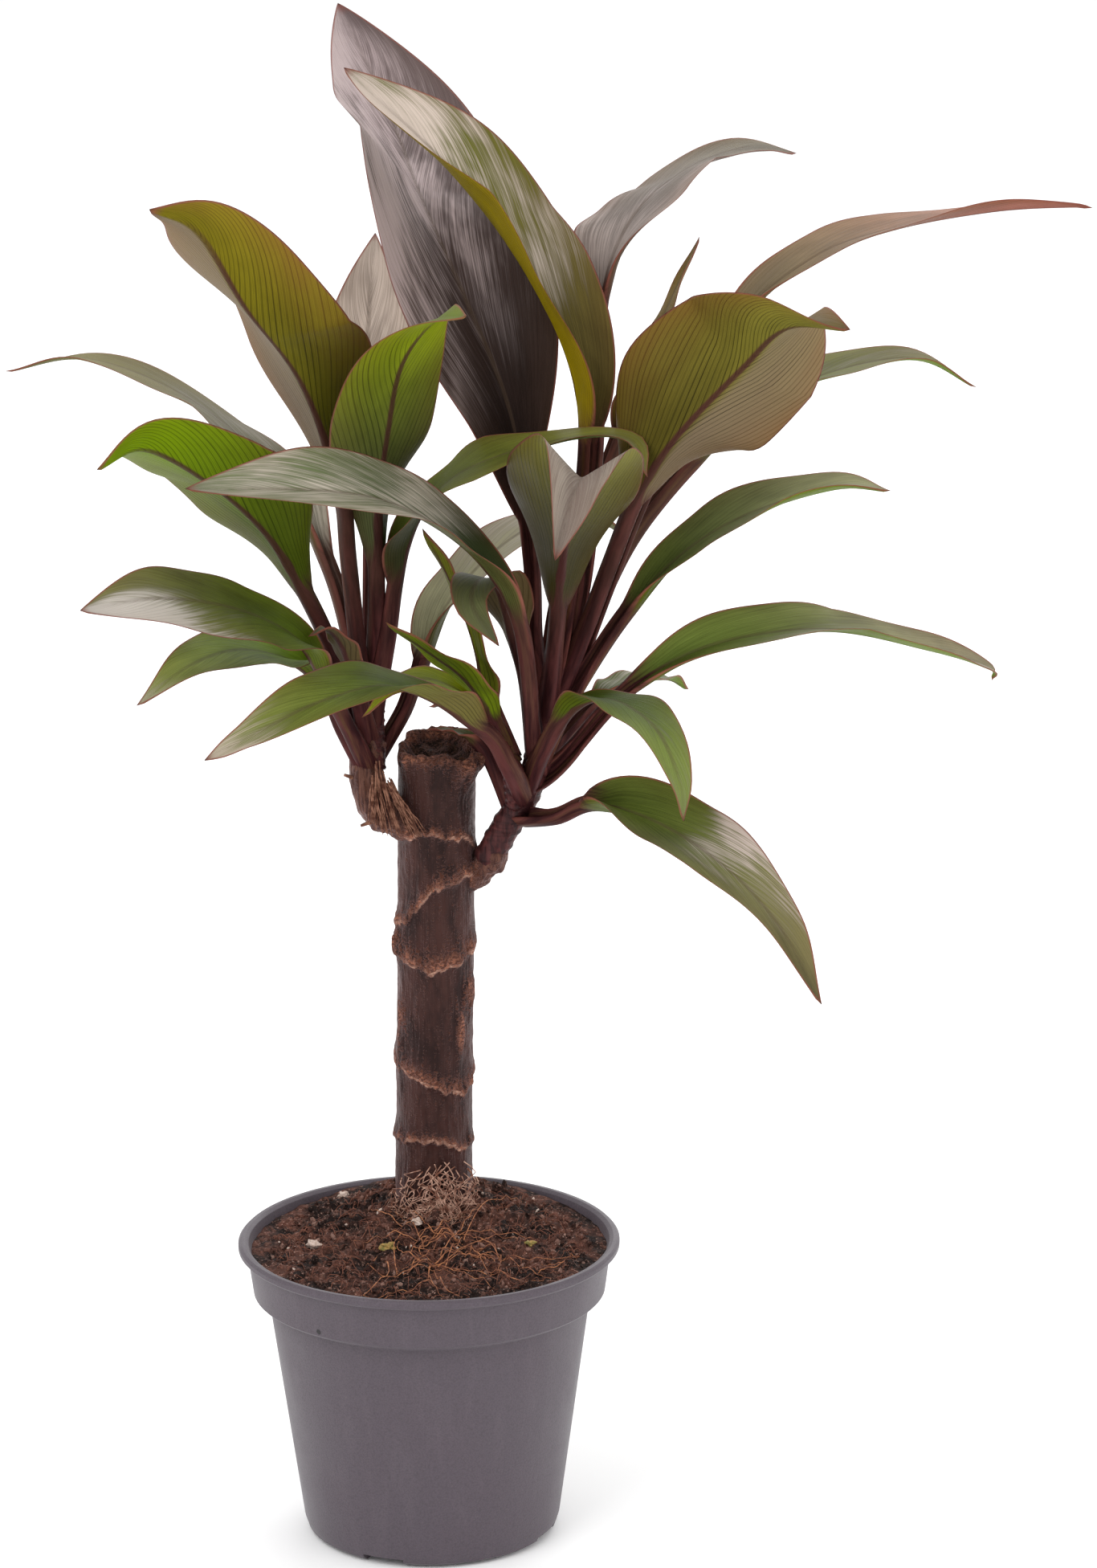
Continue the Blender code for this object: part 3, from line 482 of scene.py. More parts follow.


# Base finishes. The fifth colour is the silver of a painted highlight, and the three numbers after it
# how much of that highlight lies at the foot, middle and tip.
GREEN = Finish(
    (0.08, 0.125, 0.005), (0.16, 0.215, 0.02), (0.1, 0.135, 0.006), (0.17, 0.27, 0.002),
    (0.46, 0.42, 0.35))
HIGHLIT = Finish(
    (0.075, 0.095, 0.022), (0.15, 0.165, 0.06), (0.09, 0.094, 0.026), (0.16, 0.155, 0.04),
    (0.42, 0.38, 0.31), (0.1, 0.5, 0.7))
OLIVE = Finish(
    (0.11, 0.086, 0.022), (0.2, 0.15, 0.05), (0.15, 0.096, 0.034), (0.26, 0.19, 0.034),
    (0.34, 0.27, 0.2), (0.1, 0.2, 0.3), flush=0.25)
PLUM = Finish(
    (0.042, 0.026, 0.022), (0.16, 0.115, 0.112), (0.11, 0.07, 0.05), (0.18, 0.12, 0.085),
    (0.44, 0.35, 0.345), (0.05, 0.55, 0.7), flush=0.2)
DARK = Finish(
    (0.095, 0.106, 0.038), (0.15, 0.16, 0.066), (0.1, 0.072, 0.03), (0.15, 0.12, 0.052),
    (0.32, 0.31, 0.24), (0.1, 0.2, 0.3))

# Each leaf's finish. The bright yellow-green of the undersides is partly painted light shining through
# the leaf.
FINISHES = {
    "left_leaf_01": GREEN._replace(
        foot=(0.21, 0.34, 0.012), tip=(0.32, 0.35, 0.09), sheen=(0.56, 0.47, 0.4),
        silver=(-1.0, -0.5, 0.5)),
    "left_leaf_02": GREEN._replace(
        foot=(0.11, 0.165, 0.01), tip=(0.22, 0.21, 0.08), sheen=(0.54, 0.49, 0.44),
        silver=(-0.6, 0.2, 1.0), silver_side=0.9),
    "left_leaf_03": HIGHLIT._replace(foot=(0.39, 0.38, 0.23), tip=(0.5, 0.46, 0.31)),
    "left_leaf_04": GREEN._replace(
        under_foot=(0.1, 0.14, 0.008), under_tip=(0.2, 0.32, 0.001), silver=(0.0, 0.1, 0.2),
        dull_side=-0.25),
    "left_leaf_05": HIGHLIT._replace(
        foot=(0.11, 0.105, 0.06), tip=(0.25, 0.22, 0.09), silver=(0.6, 0.3, 0.2)),
    "left_leaf_06": DARK,
    "left_leaf_07": OLIVE._replace(
        under_foot=(0.13, 0.115, 0.011), under_tip=(0.25, 0.205, 0.009), dull_side=-0.9, flush=0.5),
    "left_leaf_08": HIGHLIT._replace(
        foot=(0.22, 0.17, 0.13), tip=(0.36, 0.29, 0.24), sheen=(0.56, 0.46, 0.39),
        silver=(0.5, 0.6, 0.7)),
    "left_leaf_09": GREEN._replace(
        foot=(0.105, 0.14, 0.012), tip=(0.215, 0.21, 0.035), under_foot=(0.05, 0.054, 0.018)),
    "left_leaf_10": GREEN._replace(
        under_foot=(0.09, 0.1, 0.036), under_tip=(0.31, 0.39, 0.002), flush=0.15),
    "right_leaf_01": GREEN._replace(
        foot=(0.11, 0.145, 0.024), tip=(0.205, 0.175, 0.075), sheen=(0.54, 0.45, 0.4),
        silver=(-0.8, 0.5, 0.1), silver_side=0.9),
    "right_leaf_02": GREEN._replace(
        foot=(0.1, 0.165, 0.006), tip=(0.18, 0.205, 0.045), sheen=(0.5, 0.42, 0.33),
        silver=(0.1, -0.5, 0.85), under_foot=(0.15, 0.126, 0.032)),
    "right_leaf_03": GREEN._replace(
        foot=(0.085, 0.135, 0.016), tip=(0.2, 0.25, 0.06), silver=(0.1, 0.2, 0.4)),
    "right_leaf_04": GREEN._replace(
        foot=(0.16, 0.215, 0.04), tip=(0.36, 0.31, 0.19), sheen=(0.42, 0.39, 0.31),
        silver=(0.05, 0.32, 0.35), silver_side=-0.7),
    "right_leaf_05": GREEN._replace(silver=(0.3, 0.4, 0.4)),
    "right_leaf_06": HIGHLIT._replace(
        foot=(0.032, 0.044, 0.014), tip=(0.16, 0.195, 0.09), silver=(0.0, 0.6, 0.6),
        sheen=(0.46, 0.41, 0.34)),
    "right_leaf_07": GREEN._replace(
        foot=(0.115, 0.15, 0.03), tip=(0.33, 0.33, 0.16), silver=(0.0, 0.15, 0.5), silver_side=-0.6),
    "right_leaf_08": DARK._replace(under_foot=(0.165, 0.115, 0.05), under_tip=(0.24, 0.19, 0.085)),
    "right_leaf_09": GREEN._replace(
        foot=(0.15, 0.2, 0.04), tip=(0.26, 0.24, 0.09), silver=(0.2, 0.3, 0.3)),
    "right_leaf_10": OLIVE._replace(
        foot=(0.275, 0.215, 0.13), tip=(0.44, 0.2, 0.15), under_tip=(0.42, 0.14, 0.095),
        silver=(0.3, 0.3, 0.1), flush=0.2),
    "right_leaf_11": OLIVE._replace(
        foot=(0.18, 0.125, 0.014), tip=(0.27, 0.17, 0.026), silver=(0.0, 0.0, 0.0)),
    "right_leaf_12": PLUM._replace(
        foot=(0.18, 0.15, 0.135), tip=(0.225, 0.19, 0.13), silver=(0.7, 0.45, -0.4),
        sheen=(0.33, 0.275, 0.25)),
    "right_leaf_13": OLIVE._replace(
        under_foot=(0.13, 0.105, 0.016), under_tip=(0.24, 0.215, 0.03), dull_side=0.75, flush=0.4),
    "right_leaf_14": HIGHLIT._replace(
        foot=(0.12, 0.09, 0.07), tip=(0.24, 0.18, 0.15), under_foot=(0.062, 0.052, 0.014),
        under_tip=(0.24, 0.235, 0.03), sheen=(0.34, 0.29, 0.24), silver=(0.5, 0.5, 0.6)),
    "right_leaf_15": HIGHLIT._replace(
        foot=(0.13, 0.1, 0.026), tip=(0.12, 0.135, 0.016), under_foot=(0.32, 0.23, 0.003),
        under_tip=(0.39, 0.31, 0.006), sheen=(0.58, 0.49, 0.42), silver=(-0.1, 0.5, 0.85),
        silver_side=0.4),
    "right_leaf_16": PLUM._replace(silver=(0.05, 0.6, 0.55), silver_side=0.6, flush=0.05),
    "right_leaf_17": DARK,
    "right_leaf_18": DARK,
    "bud_leaf_01": GREEN._replace(
        foot=(0.27, 0.33, 0.007), tip=(0.4, 0.45, 0.023), silver=(0.0, 0.0, 0.2)),
    "bud_leaf_02": GREEN._replace(under_foot=(0.16, 0.225, 0.006), under_tip=(0.25, 0.33, 0.016)),
    "bud_leaf_03": GREEN._replace(under_foot=(0.136, 0.158, 0.008), under_tip=(0.215, 0.225, 0.018)),
}
# Painted glare: the grey that one half of some undersides takes where it would mirror the bright
# surroundings.
UNDERSIDE_GLARE = (0.255, 0.18, 0.132)
FLUSH_ORANGE = (0.26, 0.11, 0.028)
MARGIN_RED = (0.24, 0.075, 0.055)
MIDRIB_ABOVE = (0.085, 0.055, 0.035)
MIDRIB_BELOW = (0.06, 0.016, 0.018)
MAROON_DARK = (0.028, 0.008, 0.009)
MAROON_LIGHT = (0.098, 0.028, 0.027)
STALK_BROWN = (0.085, 0.045, 0.028)
BARK_BLACK = (0.017, 0.006, 0.005)
BARK_BROWN = (0.05, 0.018, 0.014)
BARK_GREY = (0.072, 0.042, 0.04)
BARK_SHEEN = (0.95, 0.62, 0.62)
SCAR_RUST = (0.33, 0.13, 0.078)
SCAR_DARK = (0.09, 0.032, 0.02)
SCAR_RIM = (0.52, 0.29, 0.21)
WOOD_PALE = (0.09, 0.042, 0.026)
WOOD_DARK = (0.012, 0.005, 0.003)
PEAT = (0.01, 0.004, 0.003)
PEAT_RED = (0.15, 0.06, 0.042)
PEAT_LIGHT = (0.42, 0.26, 0.21)
ROOT_PALE = (0.6, 0.37, 0.28)
ROOT_ORANGE = (0.52, 0.215, 0.1)
PEAT_FIBRE = (0.21, 0.085, 0.055)
KNUCKLE_BROWN = (0.15, 0.064, 0.044)
HUSK_TAN = (0.29, 0.14, 0.092)
ROOT_BROWN = (0.2, 0.08, 0.052)
PEBBLE_YELLOW = (0.42, 0.26, 0.09)
PEBBLE_GREEN = (0.18, 0.16, 0.05)
GRIT_WHITE = (0.62, 0.5, 0.44)
GRIT_TAN = (0.45, 0.33, 0.27)
PLASTIC_GREY = (0.081, 0.064, 0.079)
PLASTIC_PINKISH = (0.089, 0.069, 0.084)
PLASTIC_FLOW = (0.16, 0.13, 0.15)
PLASTIC_DUST = (0.21, 0.17, 0.17)
PAPER_GREY = (0.985, 0.985, 0.985)
WHITE = (1.0, 1.0, 1.0)
BLACK = (0.0, 0.0, 0.0)

# How strongly each surface mirrors. The white studio would grey the dark ones if they mirrored more.
GLOSS = "Specular IOR Level"
# The leaves mirror little; their silver is a painted highlight instead.
LEAF_GLOSS = 0.04
STEM_GLOSS = 0.15
BARK_GLOSS = 0.12
SOIL_GLOSS = 0.2
GRIT_GLOSS = 0.1
PLASTIC_GLOSS = 0.35

# Floor, and lamps by their place and width in metres and their power in watts.
FLOOR_HALF_WIDTH = 6000.0
FLOOR_CELLS = 8
LAMPS = {
    "key": ((-1.0, -1.3, 1.6), 1.2, 16.0),
    "fill": ((1.6, -0.8, 0.9), 1.6, 8.0),
    "back": ((0.5, 1.6, 1.4), 1.6, 14.0),
}
LAMP_AIM = (0.03, 0.0, 0.25)


class Term:
    """The output of a node, on which plain arithmetic adds further nodes to the same tree."""

    def __init__(self, tree, socket):
        self.tree = tree
        self.socket = socket

    def other(self, output):
        """Another output of the same node."""
        return Term(self.tree, self.socket.node.outputs[output])

    def __add__(self, other):
        return worked_out("ADD", self, other)

    def __sub__(self, other):
        return worked_out("SUBTRACT", self, other)

    def __mul__(self, other):
        return worked_out("MULTIPLY", self, other)

    def __truediv__(self, other):
        return worked_out("DIVIDE", self, other)

    def __pow__(self, other):
        return worked_out("POWER", self, other)

    def __radd__(self, other):
        return worked_out("ADD", other, self)

    def __rsub__(self, other):
        return worked_out("SUBTRACT", other, self)

    def __rmul__(self, other):
        return worked_out("MULTIPLY", other, self)


def is_vector(value):
    """Whether a term or plain value has three parts."""
    if isinstance(value, Term):
        return value.socket.type in ("VECTOR", "RGBA")
    return isinstance(value, tuple)


def feed(tree, socket, value):
    """Links a term to a socket, or sets the socket to a plain value."""
    if isinstance(value, Term):
        tree.links.new(value.socket, socket)
    elif socket.type == "RGBA" and len(value) == 3:
        socket.default_value = (*value, 1.0)
    elif socket.type == "VECTOR" and not isinstance(value, tuple):
        socket.default_value = (value, value, value)
    else:
        socket.default_value = value


def added(tree, kind, inputs=None, output=0, **settings):
    """Adds a node with these settings and inputs, and gives one of its outputs as a term."""
    node = tree.nodes.new(kind)
    for name, value in settings.items():
        setattr(node, name, value)
    for name, value in (inputs or {}).items():
        feed(tree, node.inputs[name], value)
    return Term(tree, node.outputs[output])


def worked_out(operation, *values, output=0):
    """A Math node, or a Vector Math node where a value is a vector."""
    tree = next(value.tree for value in values if isinstance(value, Term))
    vector = any(is_vector(value) for value in values)
    kind = "ShaderNodeVectorMath" if vector else "ShaderNodeMath"
    return added(tree, kind, dict(enumerate(values)), output, operation=operation)


def sine(value):
    return worked_out("SINE", value)


def cosine(value):
    return worked_out("COSINE", value)


def absolute(value):
    return worked_out("ABSOLUTE", value)


def smaller(first, second):
    return worked_out("MINIMUM", first, second)


def larger(first, second):
    return worked_out("MAXIMUM", first, second)


def root(value):
    return worked_out("SQRT", value)


def dot(first, second):
    return worked_out("DOT_PRODUCT", first, second, output="Value")


def cross(first, second):
    return worked_out("CROSS_PRODUCT", first, second)


def unit_of(vector):
    return worked_out("NORMALIZE", vector)


def vector_of(x, y, z):
    """A vector of three parts, one of them a term at least."""
    tree = next(value.tree for value in (x, y, z) if isinstance(value, Term))
    return added(tree, "ShaderNodeCombineXYZ", {"X": x, "Y": y, "Z": z})


def parts_of(vector):
    """The three parts of a vector."""
    x = added(vector.tree, "ShaderNodeSeparateXYZ", {"Vector": vector})
    return x, x.other("Y"), x.other("Z")


def ramp(value, low, high, start=0.0, end=1.0, kind="SMOOTHSTEP"):
    """Runs from start to end while value runs from low to high, and stays at the ends."""
    inputs = {"Value": value, "From Min": low, "From Max": high, "To Min": start, "To Max": end}
    return added(value.tree, "ShaderNodeMapRange", inputs, interpolation_type=kind)


def mixed(share, first, second):
    """A colour between two colours."""
    inputs = {0: share, 6: first, 7: second}
    return added(share.tree, "ShaderNodeMix", inputs, 2, data_type="RGBA")


def darkened(colour, share):
    """The colour times one less the share."""
    return mixed(share, colour, BLACK)


def mark(tree, name, output="Fac"):
    """A value that was written on a mesh."""
    return added(tree, "ShaderNodeAttribute", output=output, attribute_name=name)


# Shader groups that several materials use.


def new_group(name, inputs, outputs):
    """An empty shader group with named inputs and number outputs, its inputs as terms, and its end."""
    group = bpy.data.node_groups.new(name, "ShaderNodeTree")
    for label, default in inputs.items():
        kind = "NodeSocketVector" if default is None else "NodeSocketFloat"
        socket = group.interface.new_socket(label, in_out="INPUT", socket_type=kind)
        if default is not None:
            socket.default_value = default
    for label in outputs:
        group.interface.new_socket(label, in_out="OUTPUT", socket_type="NodeSocketFloat")
    start = group.nodes.new("NodeGroupInput")
    given = {label: Term(group, start.outputs[label]) for label in inputs}
    return group, given, group.nodes.new("NodeGroupOutput")


def patches_group():
    """Soft patches of a given size: the mask is 0 below `From` and 1 above `To` of the noise."""
    sockets = {"Place": None, "Size": 1.0, "From": 0.4, "To": 0.6}
    group, given, end = new_group("patches", sockets, ("Mask",))
    inputs = {"Vector": given["Place"] / given["Size"], "Scale": 1.0, "Detail": 3.0, "Roughness": 0.6}
    grain = added(group, "ShaderNodeTexNoise", inputs)
    feed(group, end.inputs["Mask"], ramp(grain, given["From"], given["To"]))
    return group


def pores_group():
    """Fine grain as a height from 0 to 1, with pits of the given size."""
    group, given, end = new_group("pores", {"Place": None, "Size": 1.0}, ("Height",))
    scaled = given["Place"] / given["Size"]
    grain = added(group, "ShaderNodeTexNoise", {"Vector": scaled, "Scale": 1.0, "Detail": 2.0})
    pits = added(group, "ShaderNodeTexVoronoi", {"Vector": scaled, "Scale": 0.6}, "Distance")
    feed(group, end.inputs["Height"], grain * 0.6 + smaller(pits, 1.0) * 0.4)
    return group


PATCHES = patches_group()
PORES = pores_group()


def patches(place, size, low=0.35, high=0.65):
    """Soft patches of a size, 0 where their noise is below low and 1 where it is above high."""
    inputs = {"Place": place, "Size": size, "From": low, "To": high}
    return grouped(place.tree, PATCHES, inputs)


def pores(place, size):
    """A fine grain as a height from 0 to 1, with pits of a size."""
    return grouped(place.tree, PORES, {"Place": place, "Size": size})


def grouped(tree, group, inputs):
    """Adds a shader group with these inputs, and gives its output."""
    node = tree.nodes.new("ShaderNodeGroup")
    node.node_tree = group
    for label, value in inputs.items():
        feed(tree, node.inputs[label], value)
    return Term(tree, node.outputs[0])


def new_material(name, values):
    """A material with only its Principled shader, its tree, and that shader with these values."""
    material = bpy.data.materials.new(name)
    material.use_nodes = True
    shader = material.node_tree.nodes["Principled BSDF"]
    for label, value in values.items():
        feed(material.node_tree, shader.inputs[label], value)
    return material, material.node_tree, shader


def place_in_object(tree):
    """Object coordinates, brought to millimetres."""
    return added(tree, "ShaderNodeTexCoord", output="Object") / MM


def bumped(tree, shader, height, depth):
    """Raises the surface by a height of 0 to 1 times a depth in millimetres."""
    inputs = {"Strength": 1.0, "Distance": depth * MM, "Height": height}
    feed(tree, shader.inputs["Normal"], added(tree, "ShaderNodeBump", inputs))


class LeafPattern(NamedTuple):
    """Masks from 0 to 1 that run along a leaf's veins, and its broader clouds."""

    main: Term
    fine: Term
    hair: Term
    streaks: Term
    clouds: Term


def veins(place, spacing, seed):
    """Thin lines along the leaf, 1 on a vein and 0 between, uneven in strength."""
    wave = sine(place * (math.tau / spacing) + seed)
    uneven = patches(vector_of(place / spacing, seed, 0.0), 1.3, 0.25, 0.75)
    return ramp(wave, 0.45, 1.0) * (0.3 + uneven * 0.7)


def leaf_pattern(tree, across, share, along, half, seed):
    """The patterns of a leaf, which follow the place on it."""
    # Lines of equal `line` run as the veins do: out of the midrib at a low angle and along the margin.
    line = share * share * VEIN_CURVE + share * VEIN_LEAN - absolute(across)
    line = line * mark(tree, "blade_half")
    side_seed = seed + ramp(across, -0.01, 0.01) * 5.0
    return LeafPattern(
        main=veins(line, VEIN_SPACING, side_seed),
        fine=veins(line, FINE_VEIN_SPACING, side_seed),
        hair=patches(vector_of(line * 2.8, along / 26.0, side_seed), 1.0, 0.3, 0.7),
        streaks=patches(vector_of(line * 0.7, along / 28.0, side_seed), 1.0, 0.3, 0.7),
        clouds=patches(vector_of(across * half, along * 0.3, seed * 31.0), 13.0, 0.3, 0.7),
    )


def upper_side(tree, pattern):
    """The colour of a leaf's upper side, and how much painted silver highlight lies on it."""
    uneven = pattern.clouds * 0.42 + pattern.streaks * 0.2 + pattern.hair * 0.38
    # Painted silver highlight: where it lies, broken up along the veins and in clouds.
    silver = ramp(mark(tree, "silver") * (0.1 + uneven * 1.8), 0.2, 0.95)
    colour = darkened(mark(tree, "upper", "Color"), pattern.clouds * 0.36 + pattern.hair * 0.26)
    colour = mixed(silver, colour, mark(tree, "sheen", "Color"))
    return darkened(colour, pattern.fine * 0.16 + pattern.main * 0.14), silver


def underside(tree, pattern):
    """The colour of a leaf's underside, partly painted light shining through, with a painted glare on
    one half.
    """
    colour = darkened(mark(tree, "under", "Color"), pattern.clouds * 0.28)
    # Painted glare greys one half of the underside.
    colour = mixed(mark(tree, "dull") * 0.8, colour, UNDERSIDE_GLARE)
    return darkened(colour, pattern.main * 0.58 + pattern.fine * 0.28 + pattern.hair * 0.14)


def leaf_material():
    """Leaf skin, whose veins, painted silver highlights and margins follow the place on the leaf."""
    material, tree, shader = new_material("leaf_skin", {GLOSS: LEAF_GLOSS})
    across, share, along, half, seed = (
        mark(tree, name) for name in ("across", "share", "along", "half", "seed"))
    belly = ramp(mark(tree, "belly"), 0.45, 0.55, kind="LINEAR")
    pattern = leaf_pattern(tree, across, share, along, half, seed)
    upper, silver = upper_side(tree, pattern)
    skin = mixed(belly, upper, underside(tree, pattern))

    inwards = 1.0 - absolute(across)
    from_margin = ramp(inwards, 0.0, 0.9, 1.0, 0.0, "LINEAR")
    flush = mark(tree, "flush") * from_margin * from_margin * (0.6 + pattern.clouds * 0.6)
    skin = mixed(smaller(flush, 0.85), skin, FLUSH_ORANGE)
    midrib = ramp(absolute(across) * half, 0.45, 1.15, 1.0, 0.0) * ramp(share, 0.7, 1.0, 1.0, 0.0)
    skin = mixed(midrib * (0.4 + belly * 0.45), skin, mixed(belly, MIDRIB_ABOVE, MIDRIB_BELOW))
    margin = ramp(inwards * half, 0.2, 0.8, 1.0, 0.0)
    skin = mixed(larger(margin, ramp(share, 0.965, 1.0)) * 0.85, skin, MARGIN_RED)

    grain = patches(vector_of(across * half * 1.1, along / 22.0, seed), 1.0, 0.3, 0.7)
    stalk = mixed(grain, MAROON_DARK, MAROON_LIGHT)
    stalk = mixed(ramp(along, 20.0, 70.0) * pattern.clouds * 0.5, stalk, STALK_BROWN)
    skin = mixed(ramp(share + grain * 0.03 - midrib * 0.05, 0.0, 0.1, 1.0, 0.0), skin, stalk)
    feed(tree, shader.inputs["Base Color"], skin)
    feed(tree, shader.inputs["Roughness"], ramp(silver + pattern.hair * 0.3, 0.0, 1.3, 0.48, 0.36))
    relief = pattern.main * 0.45 + pattern.fine * 0.25 + pattern.hair * 0.3
    bumped(tree, shader, relief * ramp(share, 0.0, 0.1, 0.3, 1.0), 0.12)
    return material


def stem_material():
    """Dark maroon skin of the stems."""
    material, tree, shader = new_material("stem_skin", {"Roughness": 0.42, GLOSS: STEM_GLOSS})
    place = place_in_object(tree)
    streaks = patches(place * (1.0, 1.0, 0.12), 2.2)
    rings = patches(place * (0.1, 0.1, 1.0), 1.5, 0.45, 0.65)
    colour = darkened(mixed(streaks, MAROON_DARK, MAROON_LIGHT), rings * 0.35)
    feed(tree, shader.inputs["Base Color"], colour)
    bumped(tree, shader, streaks * 0.6 + rings * 0.4, 0.25)
    return material


def bark_material():
    """Dark bark, greyer in patches, with rusty crumbling scars where the mesh is marked."""
    material, tree, shader = new_material("bark", {
        GLOSS: BARK_GLOSS, "Sheen Weight": 0.26, "Sheen Roughness": 0.45, "Sheen Tint": BARK_SHEEN})
    place = place_in_object(tree)
    scar, rim, knuckle, in_cut = (mark(tree, name) for name in ("scar", "rim", "knuckle", "cut"))
    fibres = patches(place * (1.0, 1.0, 0.07), 0.9)
    broad = patches(place * (1.0, 1.0, 0.35), 7.0)
    crumbs = patches(place * (1.0, 1.0, 1.5), 1.1, 0.4, 0.6)
    colour = mixed(broad, BARK_BLACK, BARK_BROWN)
    colour = mixed(fibres * broad * 0.2, colour, BARK_GREY)
    colour = mixed(knuckle * 0.9, colour, mixed(fibres, KNUCKLE_BROWN, BARK_BROWN))
    rough_scar = scar * (0.6 + broad * 0.5) + (crumbs - 0.5) * 0.6 + (fibres - 0.5) * 0.3
    rough_scar = ramp(rough_scar, 0.2, 0.65)
    colour = mixed(rough_scar * 0.9, colour, mixed(crumbs, SCAR_RUST, SCAR_DARK))
    colour = mixed(ramp(rim * (0.5 + crumbs), 0.35, 0.95) * broad, colour, SCAR_RIM)
    colour = mixed(in_cut, colour, mixed(crumbs, WOOD_DARK, WOOD_PALE))
    feed(tree, shader.inputs["Base Color"], colour)
    feed(tree, shader.inputs["Roughness"], ramp(rough_scar + fibres * 0.2, 0.0, 1.0, 0.42, 0.9))
    bumped(tree, shader, fibres * 0.2 + crumbs * rough_scar * 0.8 + pores(place, 0.5) * 0.2, 0.6)
    return material


def soil_material():
    """Moist peat, from nearly black to red-brown, with lighter bits of bark."""
    material, tree, shader = new_material("peat", {"Roughness": 0.85, GLOSS: SOIL_GLOSS})
    place = place_in_object(tree)
    broad = patches(place, 9.0, 0.38, 0.62)
    crumbs = patches(place, 1.8, 0.4, 0.6)
    bits = patches(place, 0.7, 0.55, 0.7)
    tone = mark(tree, "tone")
    colour = mixed(ramp(broad * 0.4 + crumbs * 0.2 + tone * 0.4, 0.15, 0.85), PEAT, PEAT_RED)
    colour = mixed(ramp(tone, 0.75, 1.0) * 0.55 + bits * crumbs * 0.8, colour, PEAT_LIGHT)
    feed(tree, shader.inputs["Base Color"], colour)
    bumped(tree, shader, crumbs * 0.6 + pores(place, 0.6) * 0.5, 0.8)
    return material


def plain_speckled(name, colour, second, size, roughness):
    """A material of two mottled colours with fine pores, for grit and root fibres."""
    material, tree, shader = new_material(name, {"Roughness": roughness, GLOSS: GRIT_GLOSS})
    place = place_in_object(tree)
    feed(tree, shader.inputs["Base Color"], mixed(patches(place, size), colour, second))
    bumped(tree, shader, pores(place, size / 2), 0.15)
    return material


def plastic_material():
    """Matt moulded plastic with a fine grain and faint scuffs."""
    material, tree, shader = new_material("pot_plastic", {
        GLOSS: PLASTIC_GLOSS, "Sheen Weight": 0.12, "Sheen Roughness": 0.4})
    place = place_in_object(tree)
    grain = pores(place, 0.35)
    cloudy = patches(place, 30.0, 0.3, 0.7)
    dust = patches(place, 0.9, 0.6, 0.72)
    flow = patches(place * (1.0, 1.0, 0.15), 5.0, 0.45, 0.7)
    colour = mixed(cloudy * 0.5, PLASTIC_GREY, PLASTIC_PINKISH)
    colour = mixed(flow * 0.1, colour, PLASTIC_FLOW)
    colour = mixed(dust * 0.12, colour, PLASTIC_DUST)
    colour = darkened(colour, ramp(grain, 0.35, 0.75) * 0.22)
    from_speck = worked_out("DISTANCE", place, SPECK_PLACE, output="Value")
    colour = darkened(colour, (1.0 - ramp(from_speck, *SPECK_RADII)) * 0.8)
    feed(tree, shader.inputs["Base Color"], colour)
    feed(tree, shader.inputs["Roughness"], ramp(cloudy + grain, 0.3, 1.7, 0.46, 0.6))
    bumped(tree, shader, grain, 0.06)
    return material


# Shapes


def noise_at(x, y, z):
    """Smooth noise from -1 to 1 at a place."""
    return noise.noise(Vector((x, y, z)))


def finish_piece(piece, slot, *nodes):
    """Lets the piece ride on the part in place of these solids. The slot is not used."""
    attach(piece, "root")
    if nodes:
        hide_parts(*nodes)


def placed(name, data):
    """An object of the scene with these data."""
    piece = bpy.data.objects.new(name, data)
    bpy.context.scene.collection.objects.link(piece)
    return piece


def object_from(name, bm, material):
    """A smooth-shaded object in metres from a bmesh in millimetres."""
    bmesh.ops.scale(bm, vec=(MM, MM, MM), verts=bm.verts)
    mesh = bpy.data.meshes.new(name)
    bm.to_mesh(mesh)
    bm.free()
    mesh.shade_smooth()
    mesh.materials.append(material)
    return placed(name, mesh)


def modified(piece, name, kind, **settings):
    """Adds a modifier with these settings to an object."""
    modifier = piece.modifiers.new(name, kind)
    for setting, value in settings.items():
        setattr(modifier, setting, value)
    return modifier


def applied(piece):
    """Replaces the object's mesh by what its modifiers make of it."""
    graph = bpy.context.evaluated_depsgraph_get()
    made = bpy.data.meshes.new_from_object(piece.evaluated_get(graph))
    piece.modifiers.clear()
    piece.data = made
    return piece


def geometry_tree(name, inputs):
    """A Geometry Nodes tree with named inputs, its inputs as terms, and its end node.

    A whole number makes an integer input, three numbers a colour, and any other number a float.
    """
    tree = bpy.data.node_groups.new(name, "GeometryNodeTree")
    tree.interface.new_socket("Geometry", in_out="INPUT", socket_type="NodeSocketGeometry")
    tree.interface.new_socket("Geometry", in_out="OUTPUT", socket_type="NodeSocketGeometry")
    for label, default in inputs.items():
        if isinstance(default, tuple):
            kind, default = "NodeSocketColor", (*default, 1.0)
        else:
            kind = "NodeSocketInt" if isinstance(default, int) else "NodeSocketFloat"
        socket = tree.interface.new_socket(label, in_out="INPUT", socket_type=kind)
        socket.default_value = default
    start = tree.nodes.new("NodeGroupInput")
    given = {label: Term(tree, start.outputs[label]) for label in ("Geometry", *inputs)}
    return tree, given, tree.nodes.new("NodeGroupOutput")


